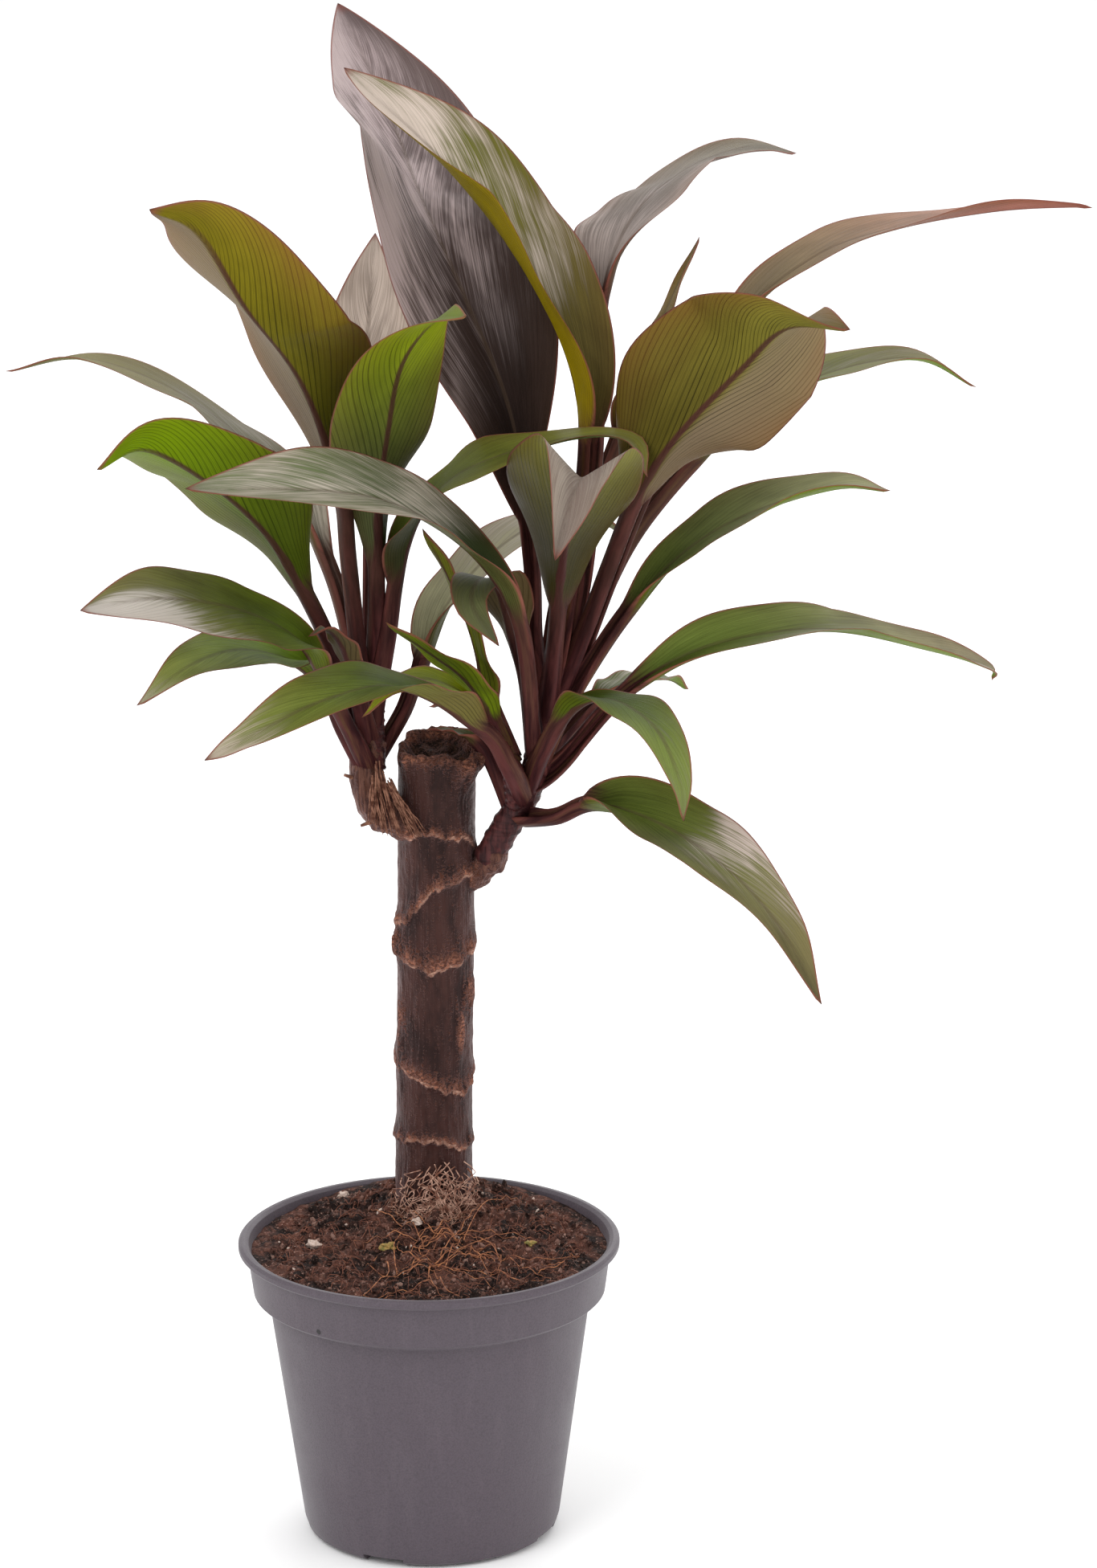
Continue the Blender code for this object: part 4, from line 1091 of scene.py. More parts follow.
def grown(name, start, tree, values):
    """Runs a Geometry Nodes tree on a mesh and gives the result as an object with a plain mesh."""
    piece = placed(name, start)
    modifier = modified(piece, tree.name, "NODES", node_group=tree)
    for item in tree.interface.items_tree:
        if item.in_out != "INPUT" or item.name not in values:
            continue
        value = values[item.name]
        if isinstance(value, tuple):
            value = (*value, 1.0)
        elif item.socket_type == "NodeSocketFloat":
            value = float(value)
        modifier[item.identifier] = value
    return applied(piece)


def shaped(tree, kind, inputs=None, output=0, **settings):
    """Adds a node of Geometry Nodes, and gives one of its outputs as a term."""
    return added(tree, "GeometryNode" + kind, inputs, output, **settings)


def tube(tree, line, radius, sides):
    """A round tube along curves, closed at both ends."""
    ring = shaped(tree, "CurvePrimitiveCircle", {"Resolution": sides, "Radius": 1.0})
    inputs = {"Curve": line, "Profile Curve": ring, "Scale": radius, "Fill Caps": True}
    return shaped(tree, "CurveToMesh", inputs)


def random_share(tree, seed):
    """A random number from 0 to 1 for every point or instance."""
    return added(tree, "FunctionNodeRandomValue", {2: 0.0, 3: 1.0, "Seed": seed}, 1)


def through(value, places, levels, kind="SMOOTHSTEP"):
    """Runs through three levels while value runs through three places."""
    start, middle, end = places
    first, second, third = levels
    rise = ramp(value, start, middle, first, second, kind)
    return rise + ramp(value, middle, end, 0.0, third - second, kind)


def path_mesh(name, *paths):
    """A mesh of edges along each path of points, for a tree to read as curves."""
    mesh = bpy.data.meshes.new(name)
    points = [tuple(point) for path in paths for point in path]
    edges = []
    first = 0
    for path in paths:
        edges += [(index, index + 1) for index in range(first, first + len(path) - 1)]
        first += len(path)
    mesh.from_pydata(points, edges, [])
    return mesh


def smooth_line(points):
    """Close points on a smooth curve through the given ones, and each one's distance along it."""
    given = np.array(points, float)
    ends = (2 * given[0] - given[1], 2 * given[-1] - given[-2])
    knots = np.vstack((ends[0], given, ends[1]))
    share = np.linspace(0, 1, LINE_DETAIL, endpoint=False)[:, None]
    dense = []
    for before, start, end, after in zip(knots, knots[1:], knots[2:], knots[3:]):
        bend = 2 * before - 5 * start + 4 * end - after
        twist = 3 * start - before - 3 * end + after
        dense.append(start + 0.5 * ((end - before) * share + bend * share**2 + twist * share**3))
    dense = np.vstack((*dense, given[-1:]))
    steps = np.linalg.norm(np.diff(dense, axis=0), axis=1)
    return dense, np.concatenate(([0.0], np.cumsum(steps)))


def point_along(line, length):
    """The point of a smooth line at a length along it."""
    dense, travelled = line
    return tuple(float(np.interp(length, travelled, dense[:, axis])) for axis in range(3))


def leaf_frame(tree, given, midrib, length, middle, total):
    """The midrib's place at a length along it, and the ways to the leaf's side and its upper side."""
    place = shaped(tree, "SampleCurve", {"Curves": midrib, "Length": length}, "Position", mode="LENGTH")
    foot, tip = (
        shaped(tree, "SampleCurve", {"Curves": midrib, "Factor": factor}, "Position", mode="FACTOR")
        for factor in (0.0, 1.0))
    along = unit_of(place.other("Tangent"))
    lean_x, lean_y, _ = parts_of(tip - foot)
    level = unit_of(vector_of(0.0 - lean_y, lean_x, 0.0))
    flat = unit_of(level - along * dot(along, level))
    over = cross(along, flat)
    rolls = (given["Roll at stem"], given["Roll at middle"], given["Roll at tip"])
    turn = through(length, (0.0, middle, total), rolls, "LINEAR") * math.radians(1.0)
    aside_way = flat * cosine(turn) + over * sine(turn)
    return place, aside_way, cross(along, aside_way)


def leaf_half_width(given, length, share):
    """Half the width of the clasping foot, the narrow stalk, and the blade that swells and tapers."""
    clasped = ramp(length, 0.0, given["Clasp"], CLASP_HALF_WIDTH, STALK_HALF_WIDTH, "LINEAR")
    neck = clasped + (TIP_HALF_WIDTH - clasped) * share
    peak = worked_out("LOGARITHM", 0.5, given["Widest"])
    swell = larger(sine(share**peak * math.pi), 0.0) ** BLADE_POINTEDNESS
    return neck + (given["Width"] / 2.0 - STALK_HALF_WIDTH) * swell


def leaf_section(given, across, share, half):
    """A folded and rippled section: how far each point lies aside and up, and how both change there."""
    opened = ramp(share, 0.0, BLADE_OPEN_BY)
    fold = (STALK_FOLD + (given["Fold"] - STALK_FOLD) * opened) * math.radians(1.0)
    hollow = STALK_ROUNDING + (MIDRIB_ROUNDING - STALK_ROUNDING) * ramp(share, 0.0, STALK_ROUND_UNTIL)
    bend = root(across * across + hollow * hollow)
    reach = root(hollow * hollow + 1.0) - hollow
    shift = ramp(across, -0.001, 0.001, LEFT_WAVE_SHIFT, RIGHT_WAVE_SHIFT, "LINEAR")
    ripple = sine(share * (math.tau * WAVES_PER_BLADE) + shift) * sine(share * math.pi) * given["Wave"]
    aside = half * across * cosine(fold)
    raised = half * ((bend - hollow) / reach) * sine(fold) + ripple * across * across
    spread = half * cosine(fold)
    climb = half * (across / bend / reach) * sine(fold) + ripple * across * 2.0
    return aside, raised, spread, climb


def leaf_depth(given, across, row, length, share, half):
    """The leaf's thickness, with a ridge under the midrib, down to nothing at the margins and ends."""
    stalk_depth = ramp(length, 0.0, given["Clasp"], CLASP_THICKNESS, STALK_THICKNESS, "LINEAR")
    depth = stalk_depth + (BLADE_THICKNESS - stalk_depth) * ramp(share, 0.0, BLADE_THIN_BY)
    from_midrib = across * half / MIDRIB_HALF_WIDTH
    ridge = MIDRIB_EXTRA * (1.0 - share) * worked_out("EXPONENT", 0.0 - from_midrib * from_midrib)
    ends = ramp(absolute(row), 0.5, LEAF_END_SHARE, kind="LINEAR")
    return (depth + ridge) * ((1.0 - absolute(across) ** LEAF_EDGE_POWER) * ends)


def leaf_marks(given, across, length, share, half):
    """The values that are written on a leaf for its material."""
    # Where the painted silver highlight lies along and across the leaf.
    silvers = (given["Highlight at foot"], given["Highlight at middle"], given["Highlight at tip"])
    silver = through(share, (0.0, 0.5, 1.0), silvers)
    towards_tip = ramp(share, 0.15, 0.95)
    return {
        "across": across, "share": share, "along": length, "half": half, "seed": given["Seed"],
        "blade_half": given["Width"] / 2.0, "sheen": given["Sheen"], "flush": given["Flush"],
        "silver": larger(silver * (1.0 + given["Highlight side"] * across), 0.0),
        # The painted glare on one half of the underside.
        "dull": ramp(given["Glare side"] * across, 0.0, 0.1) * absolute(given["Glare side"]),
        # The upper side is darker at the foot, partly its own colour and partly painted shade.
        "upper": mixed(towards_tip, given["Foot"], given["Tip"]),
        # The underside's colour, brightened in part by painted light shining through.
        "under": mixed(towards_tip, given["Under foot"], given["Under tip"]),
    }


def leaf_tree(material):
    """Grows one leaf along its midrib: a grid bent to the leaf's sections, above and below."""
    tree, given, end = geometry_tree("leaf", {
        "Clasp": 20.0, "Stalk": 20.0, "Width": 30.0, "Widest": 0.42, "Fold": 12.0, "Wave": 0.8,
        "Roll at stem": 0.0, "Roll at middle": 0.0, "Roll at tip": 0.0, "Rows": 60, "Seed": 0.0,
        # Sheen is the colour of a painted silver highlight and the four inputs after it say where it
        # lies; the input after those puts a painted glare on one half of the underside.
        **dict.fromkeys(("Foot", "Tip", "Under foot", "Under tip", "Sheen"), (0.1, 0.1, 0.1)),
        "Highlight at foot": 0.1, "Highlight at middle": 0.3, "Highlight at tip": 0.5, "Highlight side": 0.0,
        "Glare side": 0.0, "Flush": 0.2,
    })
    midrib = shaped(tree, "MeshToCurve", {"Mesh": given["Geometry"]})
    total = shaped(tree, "CurveLength", {"Curve": midrib})
    sizes = {"Size X": 2.0, "Size Y": 1.0, "Vertices X": LEAF_COLUMNS, "Vertices Y": given["Rows"]}
    grid = shaped(tree, "MeshGrid", sizes)
    column, row, _ = parts_of(shaped(tree, "InputPosition"))
    across = column - sine(column * math.tau) * COLUMN_CROWDING
    length = CLASP_ROOT + (row + 0.5) * (total - CLASP_ROOT)
    start = given["Clasp"] + given["Stalk"]
    share = ramp(length, start, total, kind="LINEAR")
    half = leaf_half_width(given, length, share)

    middle = (start + total) / 2.0
    place, aside_way, upper_way = leaf_frame(tree, given, midrib, length, middle, total)
    aside, raised, spread, climb = leaf_section(given, across, share, half)
    normal = unit_of(upper_way * spread - aside_way * climb)
    top = place + aside_way * aside + upper_way * raised
    under = top - normal * leaf_depth(given, across, row, length, share, half)

    for name, value in leaf_marks(given, across, length, share, half).items():
        grid = marked(tree, grid, name, value)
    upper_face, under_face = (
        shaped(tree, "SetPosition", {"Geometry": marked(tree, grid, "belly", belly), "Position": moved})
        for belly, moved in ((0.0, top), (1.0, under)))
    both = joined(tree, shaped(tree, "FlipFaces", {"Mesh": upper_face}), under_face)
    welded = shaped(tree, "MergeByDistance", {"Geometry": both, "Distance": LEAF_WELD})
    finished(tree, end, welded, material)
    return tree


def marked(tree, geometry, name, value, domain="POINT"):
    """Writes a value on every point or instance, for the material to read."""
    kind = "FLOAT_COLOR" if isinstance(value, Term) and value.socket.type == "RGBA" else "FLOAT"
    inputs = {"Geometry": geometry, "Name": name, "Value": value}
    return shaped(tree, "StoreNamedAttribute", inputs, data_type=kind, domain=domain)


def joined(tree, *geometries):
    """Joins geometries, the first one first."""
    node = tree.nodes.new("GeometryNodeJoinGeometry")
    for geometry in reversed(geometries):
        tree.links.new(geometry.socket, node.inputs["Geometry"])
    return Term(tree, node.outputs["Geometry"])


def finished(tree, end, geometry, material):
    """Ends a tree: metres in place of millimetres, no instances, smooth shading and a material."""
    scaled = shaped(tree, "Transform", {"Geometry": geometry, "Scale": (MM, MM, MM)})
    real = shaped(tree, "RealizeInstances", {"Geometry": scaled})
    smooth = shaped(tree, "SetShadeSmooth", {"Geometry": real})
    coated = shaped(tree, "SetMaterial", {"Geometry": smooth, "Material": material})
    tree.links.new(coated.socket, end.inputs["Geometry"])


def build_leaves(material):
    """Every leaf, on its shoot and in its own colours, which hold painted highlights, glare and shade.
    """
    tree = leaf_tree(material)
    seed = 0
    for shoot, leaves in LEAVES.items():
        stem = smooth_line(SHOOTS[shoot])
        for number, leaf in enumerate(leaves, 1):
            seed += 1
            name = f"{shoot}_leaf_{number:02d}"
            dense, travelled = smooth_line([point_along(stem, leaf.at), *leaf.line])
            finish = FINISHES[name]
            piece = grown(f"{name}_fine", path_mesh(name, dense), tree, {
                "Clasp": leaf.clasp, "Stalk": leaf.stalk, "Width": leaf.width, "Widest": leaf.widest,
                "Fold": leaf.fold, "Wave": leaf.wave, "Roll at stem": leaf.roll[0],
                "Roll at middle": leaf.roll[1], "Roll at tip": leaf.roll[2],
                "Rows": round(travelled[-1] / LEAF_STEP) + 2, "Seed": LEAF_SEED_STEP * seed,
                "Foot": finish.foot, "Tip": finish.tip, "Under foot": finish.under_foot,
                "Under tip": finish.under_tip, "Sheen": finish.sheen,
                "Highlight at foot": finish.silver[0], "Highlight at middle": finish.silver[1],
                "Highlight at tip": finish.silver[2], "Highlight side": finish.silver_side,
                "Glare side": finish.dull_side, "Flush": finish.flush,
            })
            finish_piece(piece, "leaf_blade", name)


def stem_tree(material):
    """Grows a round stem along a line, tapering, with a slight joint at each leaf's foot."""
    sizes = {"Foot radius": 5.0, "Tip radius": 3.5, "Joints": STEM_JOINTS}
    tree, given, end = geometry_tree("stem", sizes)
    line = shaped(tree, "MeshToCurve", {"Mesh": given["Geometry"]})
    line = shaped(tree, "ResampleCurve", {"Curve": line, "Length": STEM_STEP}, mode="LENGTH")
    share = shaped(tree, "SplineParameter")
    swelling = ramp(sine(share * given["Joints"] * math.tau), 0.4, 1.0) * STEM_SWELLING
    radius = given["Foot radius"] + (given["Tip radius"] - given["Foot radius"]) * share + swelling
    finished(tree, end, tube(tree, line, radius, STEM_SIDES), material)
    return tree


def build_stems(material):
    """The stems of both shoots and of the bud, which has no solid of its own."""
    tree = stem_tree(material)
    for name, stem in STEMS.items():
        dense, _ = smooth_line(stem.line)
        piece = grown(f"{name}_stem_fine", path_mesh(name, dense), tree, {
            "Foot radius": stem.foot_radius, "Tip radius": stem.tip_radius,
        })
        nodes = [f"{name}_shoot"] if name != "bud" else []
        finish_piece(piece, "shoot_skin", *nodes)


def turned(profile, sides):
    """A solid turned about Z from (radius, height) points that start and end on the axis."""
    bm = bmesh.new()
    points = [bm.verts.new((radius, 0, height)) for radius, height in profile]
    edges = [bm.edges.new(pair) for pair in zip(points, points[1:])]
    bmesh.ops.spin(bm, geom=points + edges, cent=(0, 0, 0), axis=(0, 0, 1), angle=math.tau,
                   steps=sides, use_merge=True)
    bmesh.ops.remove_doubles(bm, verts=bm.verts, dist=0.01)
    bmesh.ops.recalc_face_normals(bm, faces=bm.faces)
    return bm


def pot_profile():
    """The pot's section, from the middle of its underside, up the outside and down the inside."""
    floor_top = FOOT_HEIGHT + FLOOR_THICKNESS
    foot_inside = FOOT_RADIUS - FOOT_WIDTH
    lip_inside = RIM_RADIUS - LIP_OVERHANG
    lip_foot = RIM_HEIGHT - LIP_HEIGHT
    underside = (
        (0, 0),
        (CENTRE_PAD_RADIUS, 0),
        (CENTRE_PAD_RADIUS + FOOT_SLOPE, FOOT_HEIGHT),
        (foot_inside, FOOT_HEIGHT),
        (foot_inside + FOOT_SLOPE, 0),
        (FOOT_RADIUS, 0),
        (BODY_FOOT_RADIUS - HEEL_ROUND, HEEL_HEIGHT / 3),
    )
    outside = (
        (BODY_FOOT_RADIUS, HEEL_HEIGHT),
        (BODY_TOP_RADIUS, COLLAR_FOOT_HEIGHT - 2 * LIP_ROUND),
        (BODY_TOP_RADIUS + WALL, COLLAR_FOOT_HEIGHT),
        (COLLAR_FOOT_RADIUS - LIP_ROUND, COLLAR_FOOT_HEIGHT + LIP_ROUND / 2),
        (COLLAR_FOOT_RADIUS, COLLAR_FOOT_HEIGHT + 1.5 * LIP_ROUND),
        (lip_inside, lip_foot - LIP_ROUND / 4),
        (RIM_RADIUS - LIP_ROUND, lip_foot),
        (RIM_RADIUS, lip_foot + LIP_ROUND),
        (RIM_RADIUS, RIM_HEIGHT - LIP_ROUND),
        (RIM_RADIUS - LIP_ROUND, RIM_HEIGHT),
    )
    inside = (
        (lip_inside + LIP_ROUND, RIM_HEIGHT),
        (lip_inside - LIP_ROUND / 2, RIM_HEIGHT - LIP_ROUND),
        (lip_inside - WALL, SOIL_EDGE_HEIGHT),
        (COLLAR_FOOT_RADIUS - WALL, COLLAR_FOOT_HEIGHT + 2 * LIP_ROUND),
        (BODY_TOP_RADIUS - WALL, COLLAR_FOOT_HEIGHT - LIP_ROUND),
        (BODY_FOOT_RADIUS - WALL, HEEL_HEIGHT + HEEL_ROUND),
        (BODY_FOOT_RADIUS - 3 * WALL, floor_top),
        (0, floor_top),
    )
    return underside + outside + inside


def foot_cutters():
    """Blocks that part the foot ring into feet, and pins for the drain holes."""
    bm = bmesh.new()
    for index in range(FOOT_GAPS):
        turn = Matrix.Rotation(math.tau * (index + 0.5) / FOOT_GAPS, 3, "Z")
        block = bmesh.ops.create_cube(bm, size=1.0)["verts"]
        height = 2 * FOOT_GAP_TOPS[index % 2]
        bmesh.ops.scale(bm, vec=(FOOT_GAP_REACH, FOOT_GAP_WIDTH, height), verts=block)
        bmesh.ops.translate(bm, vec=(FOOT_RADIUS, 0, 0), verts=block)
        bmesh.ops.rotate(bm, cent=(0, 0, 0), matrix=turn, verts=block)
    for index in range(DRAIN_HOLES):
        angle = math.tau * index / DRAIN_HOLES
        pin = bmesh.ops.create_cone(bm, cap_ends=True, segments=DRAIN_SIDES, radius1=DRAIN_RADIUS,
                                    radius2=DRAIN_RADIUS, depth=DRAIN_PIN_LENGTH)["verts"]
        place = (DRAIN_CIRCLE * math.cos(angle), DRAIN_CIRCLE * math.sin(angle), FOOT_HEIGHT)
        bmesh.ops.translate(bm, vec=place, verts=pin)
    return bm


def build_pot(material):
    """The pot, turned, cut into feet and drain holes, and rounded at its edges."""
    pot = object_from("pot_fine", turned(pot_profile(), POT_SIDES), material)
    cutter = object_from("foot_cutters", foot_cutters(), material)
    modified(pot, "feet_and_drain_holes", "BOOLEAN",
             operation="DIFFERENCE", solver="EXACT", object=cutter)
    modified(pot, "rounded_edges", "BEVEL", width=POT_EDGE_ROUND * MM, segments=POT_EDGE_STEPS,
             limit_method="ANGLE", angle_limit=math.radians(POT_ROUND_ABOVE))
    applied(pot)
    bpy.data.objects.remove(cutter)
    pot.data.shade_smooth()
    pot.data.set_sharp_from_angle(angle=math.radians(POT_SHARP_ABOVE))
    finish_piece(pot, "pot_plastic", "pot")


def cane_middle(height):
    """The cane's middle at a height, on its straight, slightly leaning line."""
    low, high = np.array(CANE_BOTTOM), np.array(CANE_TOP)
    share = (np.asarray(height, float)[..., None] - low[2]) / (high[2] - low[2])
    return low + (high - low) * share


def noise_round(angle, jags, level):
    """Noise that closes on itself round the cane, with more jags the higher their number."""
    return noise_at(math.cos(angle) * jags, math.sin(angle) * jags, level)


def scar_marks(heights, angles):
    """How strongly the bark is scarred at places on it, how much of that is a rim, and the rise."""
    sides = np.degrees(angles) % 360
    jags = np.array([noise_round(angle, SCAR_JAGS, height / SCAR_JAG_HEIGHT)
                     for height, angle in zip(heights, angles)])
    compass = np.arange(0, 361, 45)
    scarred, rims, rises = np.zeros((3, len(heights)))
    for scar in SCARS:
        lower_edge = np.interp(sides, compass, (*scar.heights, scar.heights[0])) + SCAR_JAG * jags
        above = heights - lower_edge
        share = np.exp(-((above / np.where(above > 0, scar.width, SCAR_EDGE)) ** 2))
        scarred = np.maximum(scarred, share)
        rims = np.maximum(rims, np.exp(-((above / SCAR_EDGE) ** 2)))
        rises += scar.rise * share
    for knot in KNOTS:
        aside = np.radians((sides - knot.side + 180) % 360 - 180) * CANE_RADIUS
        share = np.exp(-((aside / knot.wide) ** 2) - ((heights - knot.height) / knot.tall) ** 2)
        scarred = np.maximum(scarred, share * (1 + jags))
        rises += knot.rise * share * (1 + jags)
    return scarred, rims, rises


def bark_lump(place):
    """Fine relief of the bark at a place in millimetres."""
    x, y, z = place
    return sum(rise * noise_at(x / wide, y / wide, z / tall) for wide, tall, rise in BARK_LUMPS)


def cane_rings():
    """Rings of points up the cane and into its slanted, ragged, hollow cut."""
    top = CANE_TOP[2]
    heights = np.arange(CANE_FOOT, top - 3 * CUT_EDGE, CANE_RING_SPACING)
    angles = np.linspace(0, math.tau, CANE_SIDES, endpoint=False)
    ragged = np.array([noise_round(angle, CUT_JAGS, CUT_SEED) for angle in angles])
    rim = CUT_SLANT * np.sin(angles) + CUT_RAGGEDNESS * ragged
    cut = (
        (0.0, -CUT_EDGE), (0.3 * CUT_EDGE, -0.6 * CUT_EDGE), (CUT_EDGE, 0.0), (0.7 * CUT_WALL, 0.0),
        (CUT_WALL, -0.3 * CUT_DEPTH), (1.5 * CUT_WALL, -0.8 * CUT_DEPTH), (2.2 * CUT_WALL, -CUT_DEPTH),
        (3 * CUT_WALL, -CUT_DEPTH),
    )
    rings = [(float(height), 0.0, 0.0) for height in heights]
    rings += [(top, inset, drop) for inset, drop in cut]
    for height, inset, drop in rings:
        x, y, _ = cane_middle(height)
        level = height + drop + rim * (height == top)
        radius = CANE_RADIUS + scar_marks(level, angles)[2] - inset
        yield np.column_stack((x + radius * np.cos(angles), y + radius * np.sin(angles), level))


def skin_rings(rings):
    """Closes a stack of rings, each a list of points that runs anticlockwise seen from the last."""
    bm = bmesh.new()
    loops = [[bm.verts.new(point) for point in ring] for ring in rings]
    count = len(loops[0])
    for low, high in zip(loops, loops[1:]):
        for side in range(count):
            after = (side + 1) % count
            bm.faces.new((low[side], low[after], high[after], high[side]))
    bm.faces.new(reversed(loops[0]))
    bm.faces.new(loops[-1])
    return bm


def knuckle_rings(knuckle):
    """Rings of a bark knuckle, from inside the cane to where the shoot's own skin starts."""
    dense, travelled = smooth_line(knuckle.line)
    lengths = np.arange(0.0, travelled[-1], CANE_RING_SPACING)
    middles = np.array([point_along((dense, travelled), length) for length in lengths])
    along = np.gradient(middles, axis=0)
    along /= np.linalg.norm(along, axis=1, keepdims=True)
    across = np.cross(along, (0.0, 1.0, 0.0))
    across /= np.linalg.norm(across, axis=1, keepdims=True)
    over = np.cross(along, across)
    tapered = (0.0, KNUCKLE_TAPER_SHARE * travelled[-1])
    widths = np.interp(lengths, tapered, (knuckle.foot_radius, knuckle.tip_radius))
    angles = np.linspace(0, math.tau, KNUCKLE_SIDES, endpoint=False)
    for middle, side, front, width in zip(middles, across, over, widths):
        yield middle + width * (np.outer(np.cos(angles), side) + np.outer(np.sin(angles), front))


def build_cane(material):
    """Trunk and knuckles melted into one skin, with the bark's relief and its scars marked."""
    cane = object_from("cane_fine", skin_rings(list(cane_rings())), material)
    branches = [object_from(f"{name}_knuckle", skin_rings(list(knuckle_rings(knuckle))), material)
                for name, knuckle in KNUCKLES.items()]
    for branch in branches:
        modified(cane, branch.name, "BOOLEAN", operation="UNION", solver="EXACT", object=branch)
    modified(cane, "melted", "REMESH", mode="VOXEL", voxel_size=BARK_CELL * MM)
    applied(cane)
    for branch in branches:
        bpy.data.objects.remove(branch)
    mark_bark(cane.data)
    cane.data.shade_smooth()
    cane.data.materials.clear()
    cane.data.materials.append(material)
    finish_piece(cane, "cane_bark", "cane")


def vectors_of(items, field):
    """A field of three numbers, as one row for every item."""
    numbers = np.empty(len(items) * 3)
    items.foreach_get(field, numbers)
    return numbers.reshape(-1, 3)


def mark_bark(mesh):
    """Adds the bark's relief to a mesh and writes where it is scarred, cut or part of a knuckle."""
    places = vectors_of(mesh.vertices, "co") / MM
    normals = vectors_of(mesh.vertex_normals, "vector")
    aside = places - cane_middle(places[:, 2])
    away = np.hypot(aside[:, 0], aside[:, 1])
    scarred, rims, rises = scar_marks(places[:, 2], np.arctan2(aside[:, 1], aside[:, 0]))
    lumps = np.array([bark_lump(Vector(place)) for place in places])
    rim_height = CANE_TOP[2] + CUT_SLANT * aside[:, 1] / CANE_RADIUS
    below_rim = rim_height - places[:, 2]
    scarred = np.maximum(scarred, np.exp(-((below_rim / CUT_RIM_WIDTH) ** 2)))
    beyond = away - CANE_RADIUS - rises
    knuckles = np.clip((beyond - KNUCKLE_START) / KNUCKLE_FADE, 0, 1)
    collars = COLLAR_STRENGTH * np.exp(-(((beyond - COLLAR_PLACE) / COLLAR_WIDTH) ** 2))
    collars *= beyond > COLLAR_START
    in_cut = np.clip((below_rim - CUT_DARK_START) / CUT_DARK_FADE, 0, 1)
    in_cut *= (away < CANE_RADIUS - 0.5 * CUT_WALL) & (places[:, 2] > CANE_TOP[2] - 2 * CUT_DEPTH)
    roughness = 1.0 + SCAR_ROUGHNESS * scarred + KNUCKLE_ROUGHNESS * knuckles
    places += normals * (lumps * roughness)[:, None]
    mesh.vertices.foreach_set("co", (places * MM).ravel())
    marks = {
        "scar": np.maximum(scarred * (1 - knuckles), collars),
        "rim": rims * (1 - knuckles),
        "knuckle": knuckles,
        "cut": in_cut,
    }
    for name, values in marks.items():
        mesh.attributes.new(name, "FLOAT", "POINT").data.foreach_set("value", values.astype(float))
    mesh.update()


def soil_height(x, y):
    """The height of the soil's top: heaped at the cane, higher behind it, and lumpy."""
    middle = cane_middle(SOIL_EDGE_HEIGHT)
    away = math.hypot(x - middle[0], y - middle[1])
    height = SOIL_EDGE_HEIGHT + SOIL_HEAP * math.exp(-((away / SOIL_HEAP_SPREAD) ** 2))
    behind = min(max((y - SOIL_BACK_START) / SOIL_BACK_LENGTH, 0.0), 1.0)
    height += SOIL_BACK_RISE * behind * math.exp(-(((x - SOIL_BACK_MIDDLE) / SOIL_BACK_SPREAD) ** 2))
    inwards = min(SOIL_EDGE_LUMPS + (SOIL_RADIUS - math.hypot(x, y)) / SOIL_EDGE_WIDTH, 1.0)
    for index, (size, rise) in enumerate(SOIL_LUMPS):
        height += inwards * rise * noise_at(x / size, y / size, 9.0 * index)
    return height


def soil_bed():
    """The soil's top as a mesh in millimetres, closed by a skirt and a floor below it."""
    bm = bmesh.new()
    rings = round(SOIL_RADIUS / SOIL_CELL)
    angles = [math.tau * side / SOIL_SIDES for side in range(SOIL_SIDES)]
    middle = bm.verts.new((0, 0, soil_height(0, 0)))
    loops = []
    for ring in range(1, rings + 1):
        radius = SOIL_RADIUS * ring / rings
        points = [(radius * math.cos(angle), radius * math.sin(angle)) for angle in angles]
        loops.append([bm.verts.new((x, y, soil_height(x, y))) for x, y in points])
    floor = SOIL_EDGE_HEIGHT - SOIL_DEPTH
    inset = SOIL_SKIRT_SHARE
    skirt = [bm.verts.new((edge.co.x * inset, edge.co.y * inset, floor)) for edge in loops[-1]]
    for side in range(SOIL_SIDES):
        after = (side + 1) % SOIL_SIDES
        bm.faces.new((middle, loops[0][side], loops[0][after]))
        for inner, outer in zip(loops, [*loops[1:], skirt]):
            bm.faces.new((inner[side], outer[side], outer[after], inner[after]))
    bm.faces.new(list(reversed(skirt)))
    mesh = bpy.data.meshes.new("soil_bed")
    bm.to_mesh(mesh)
    bm.free()
    return mesh


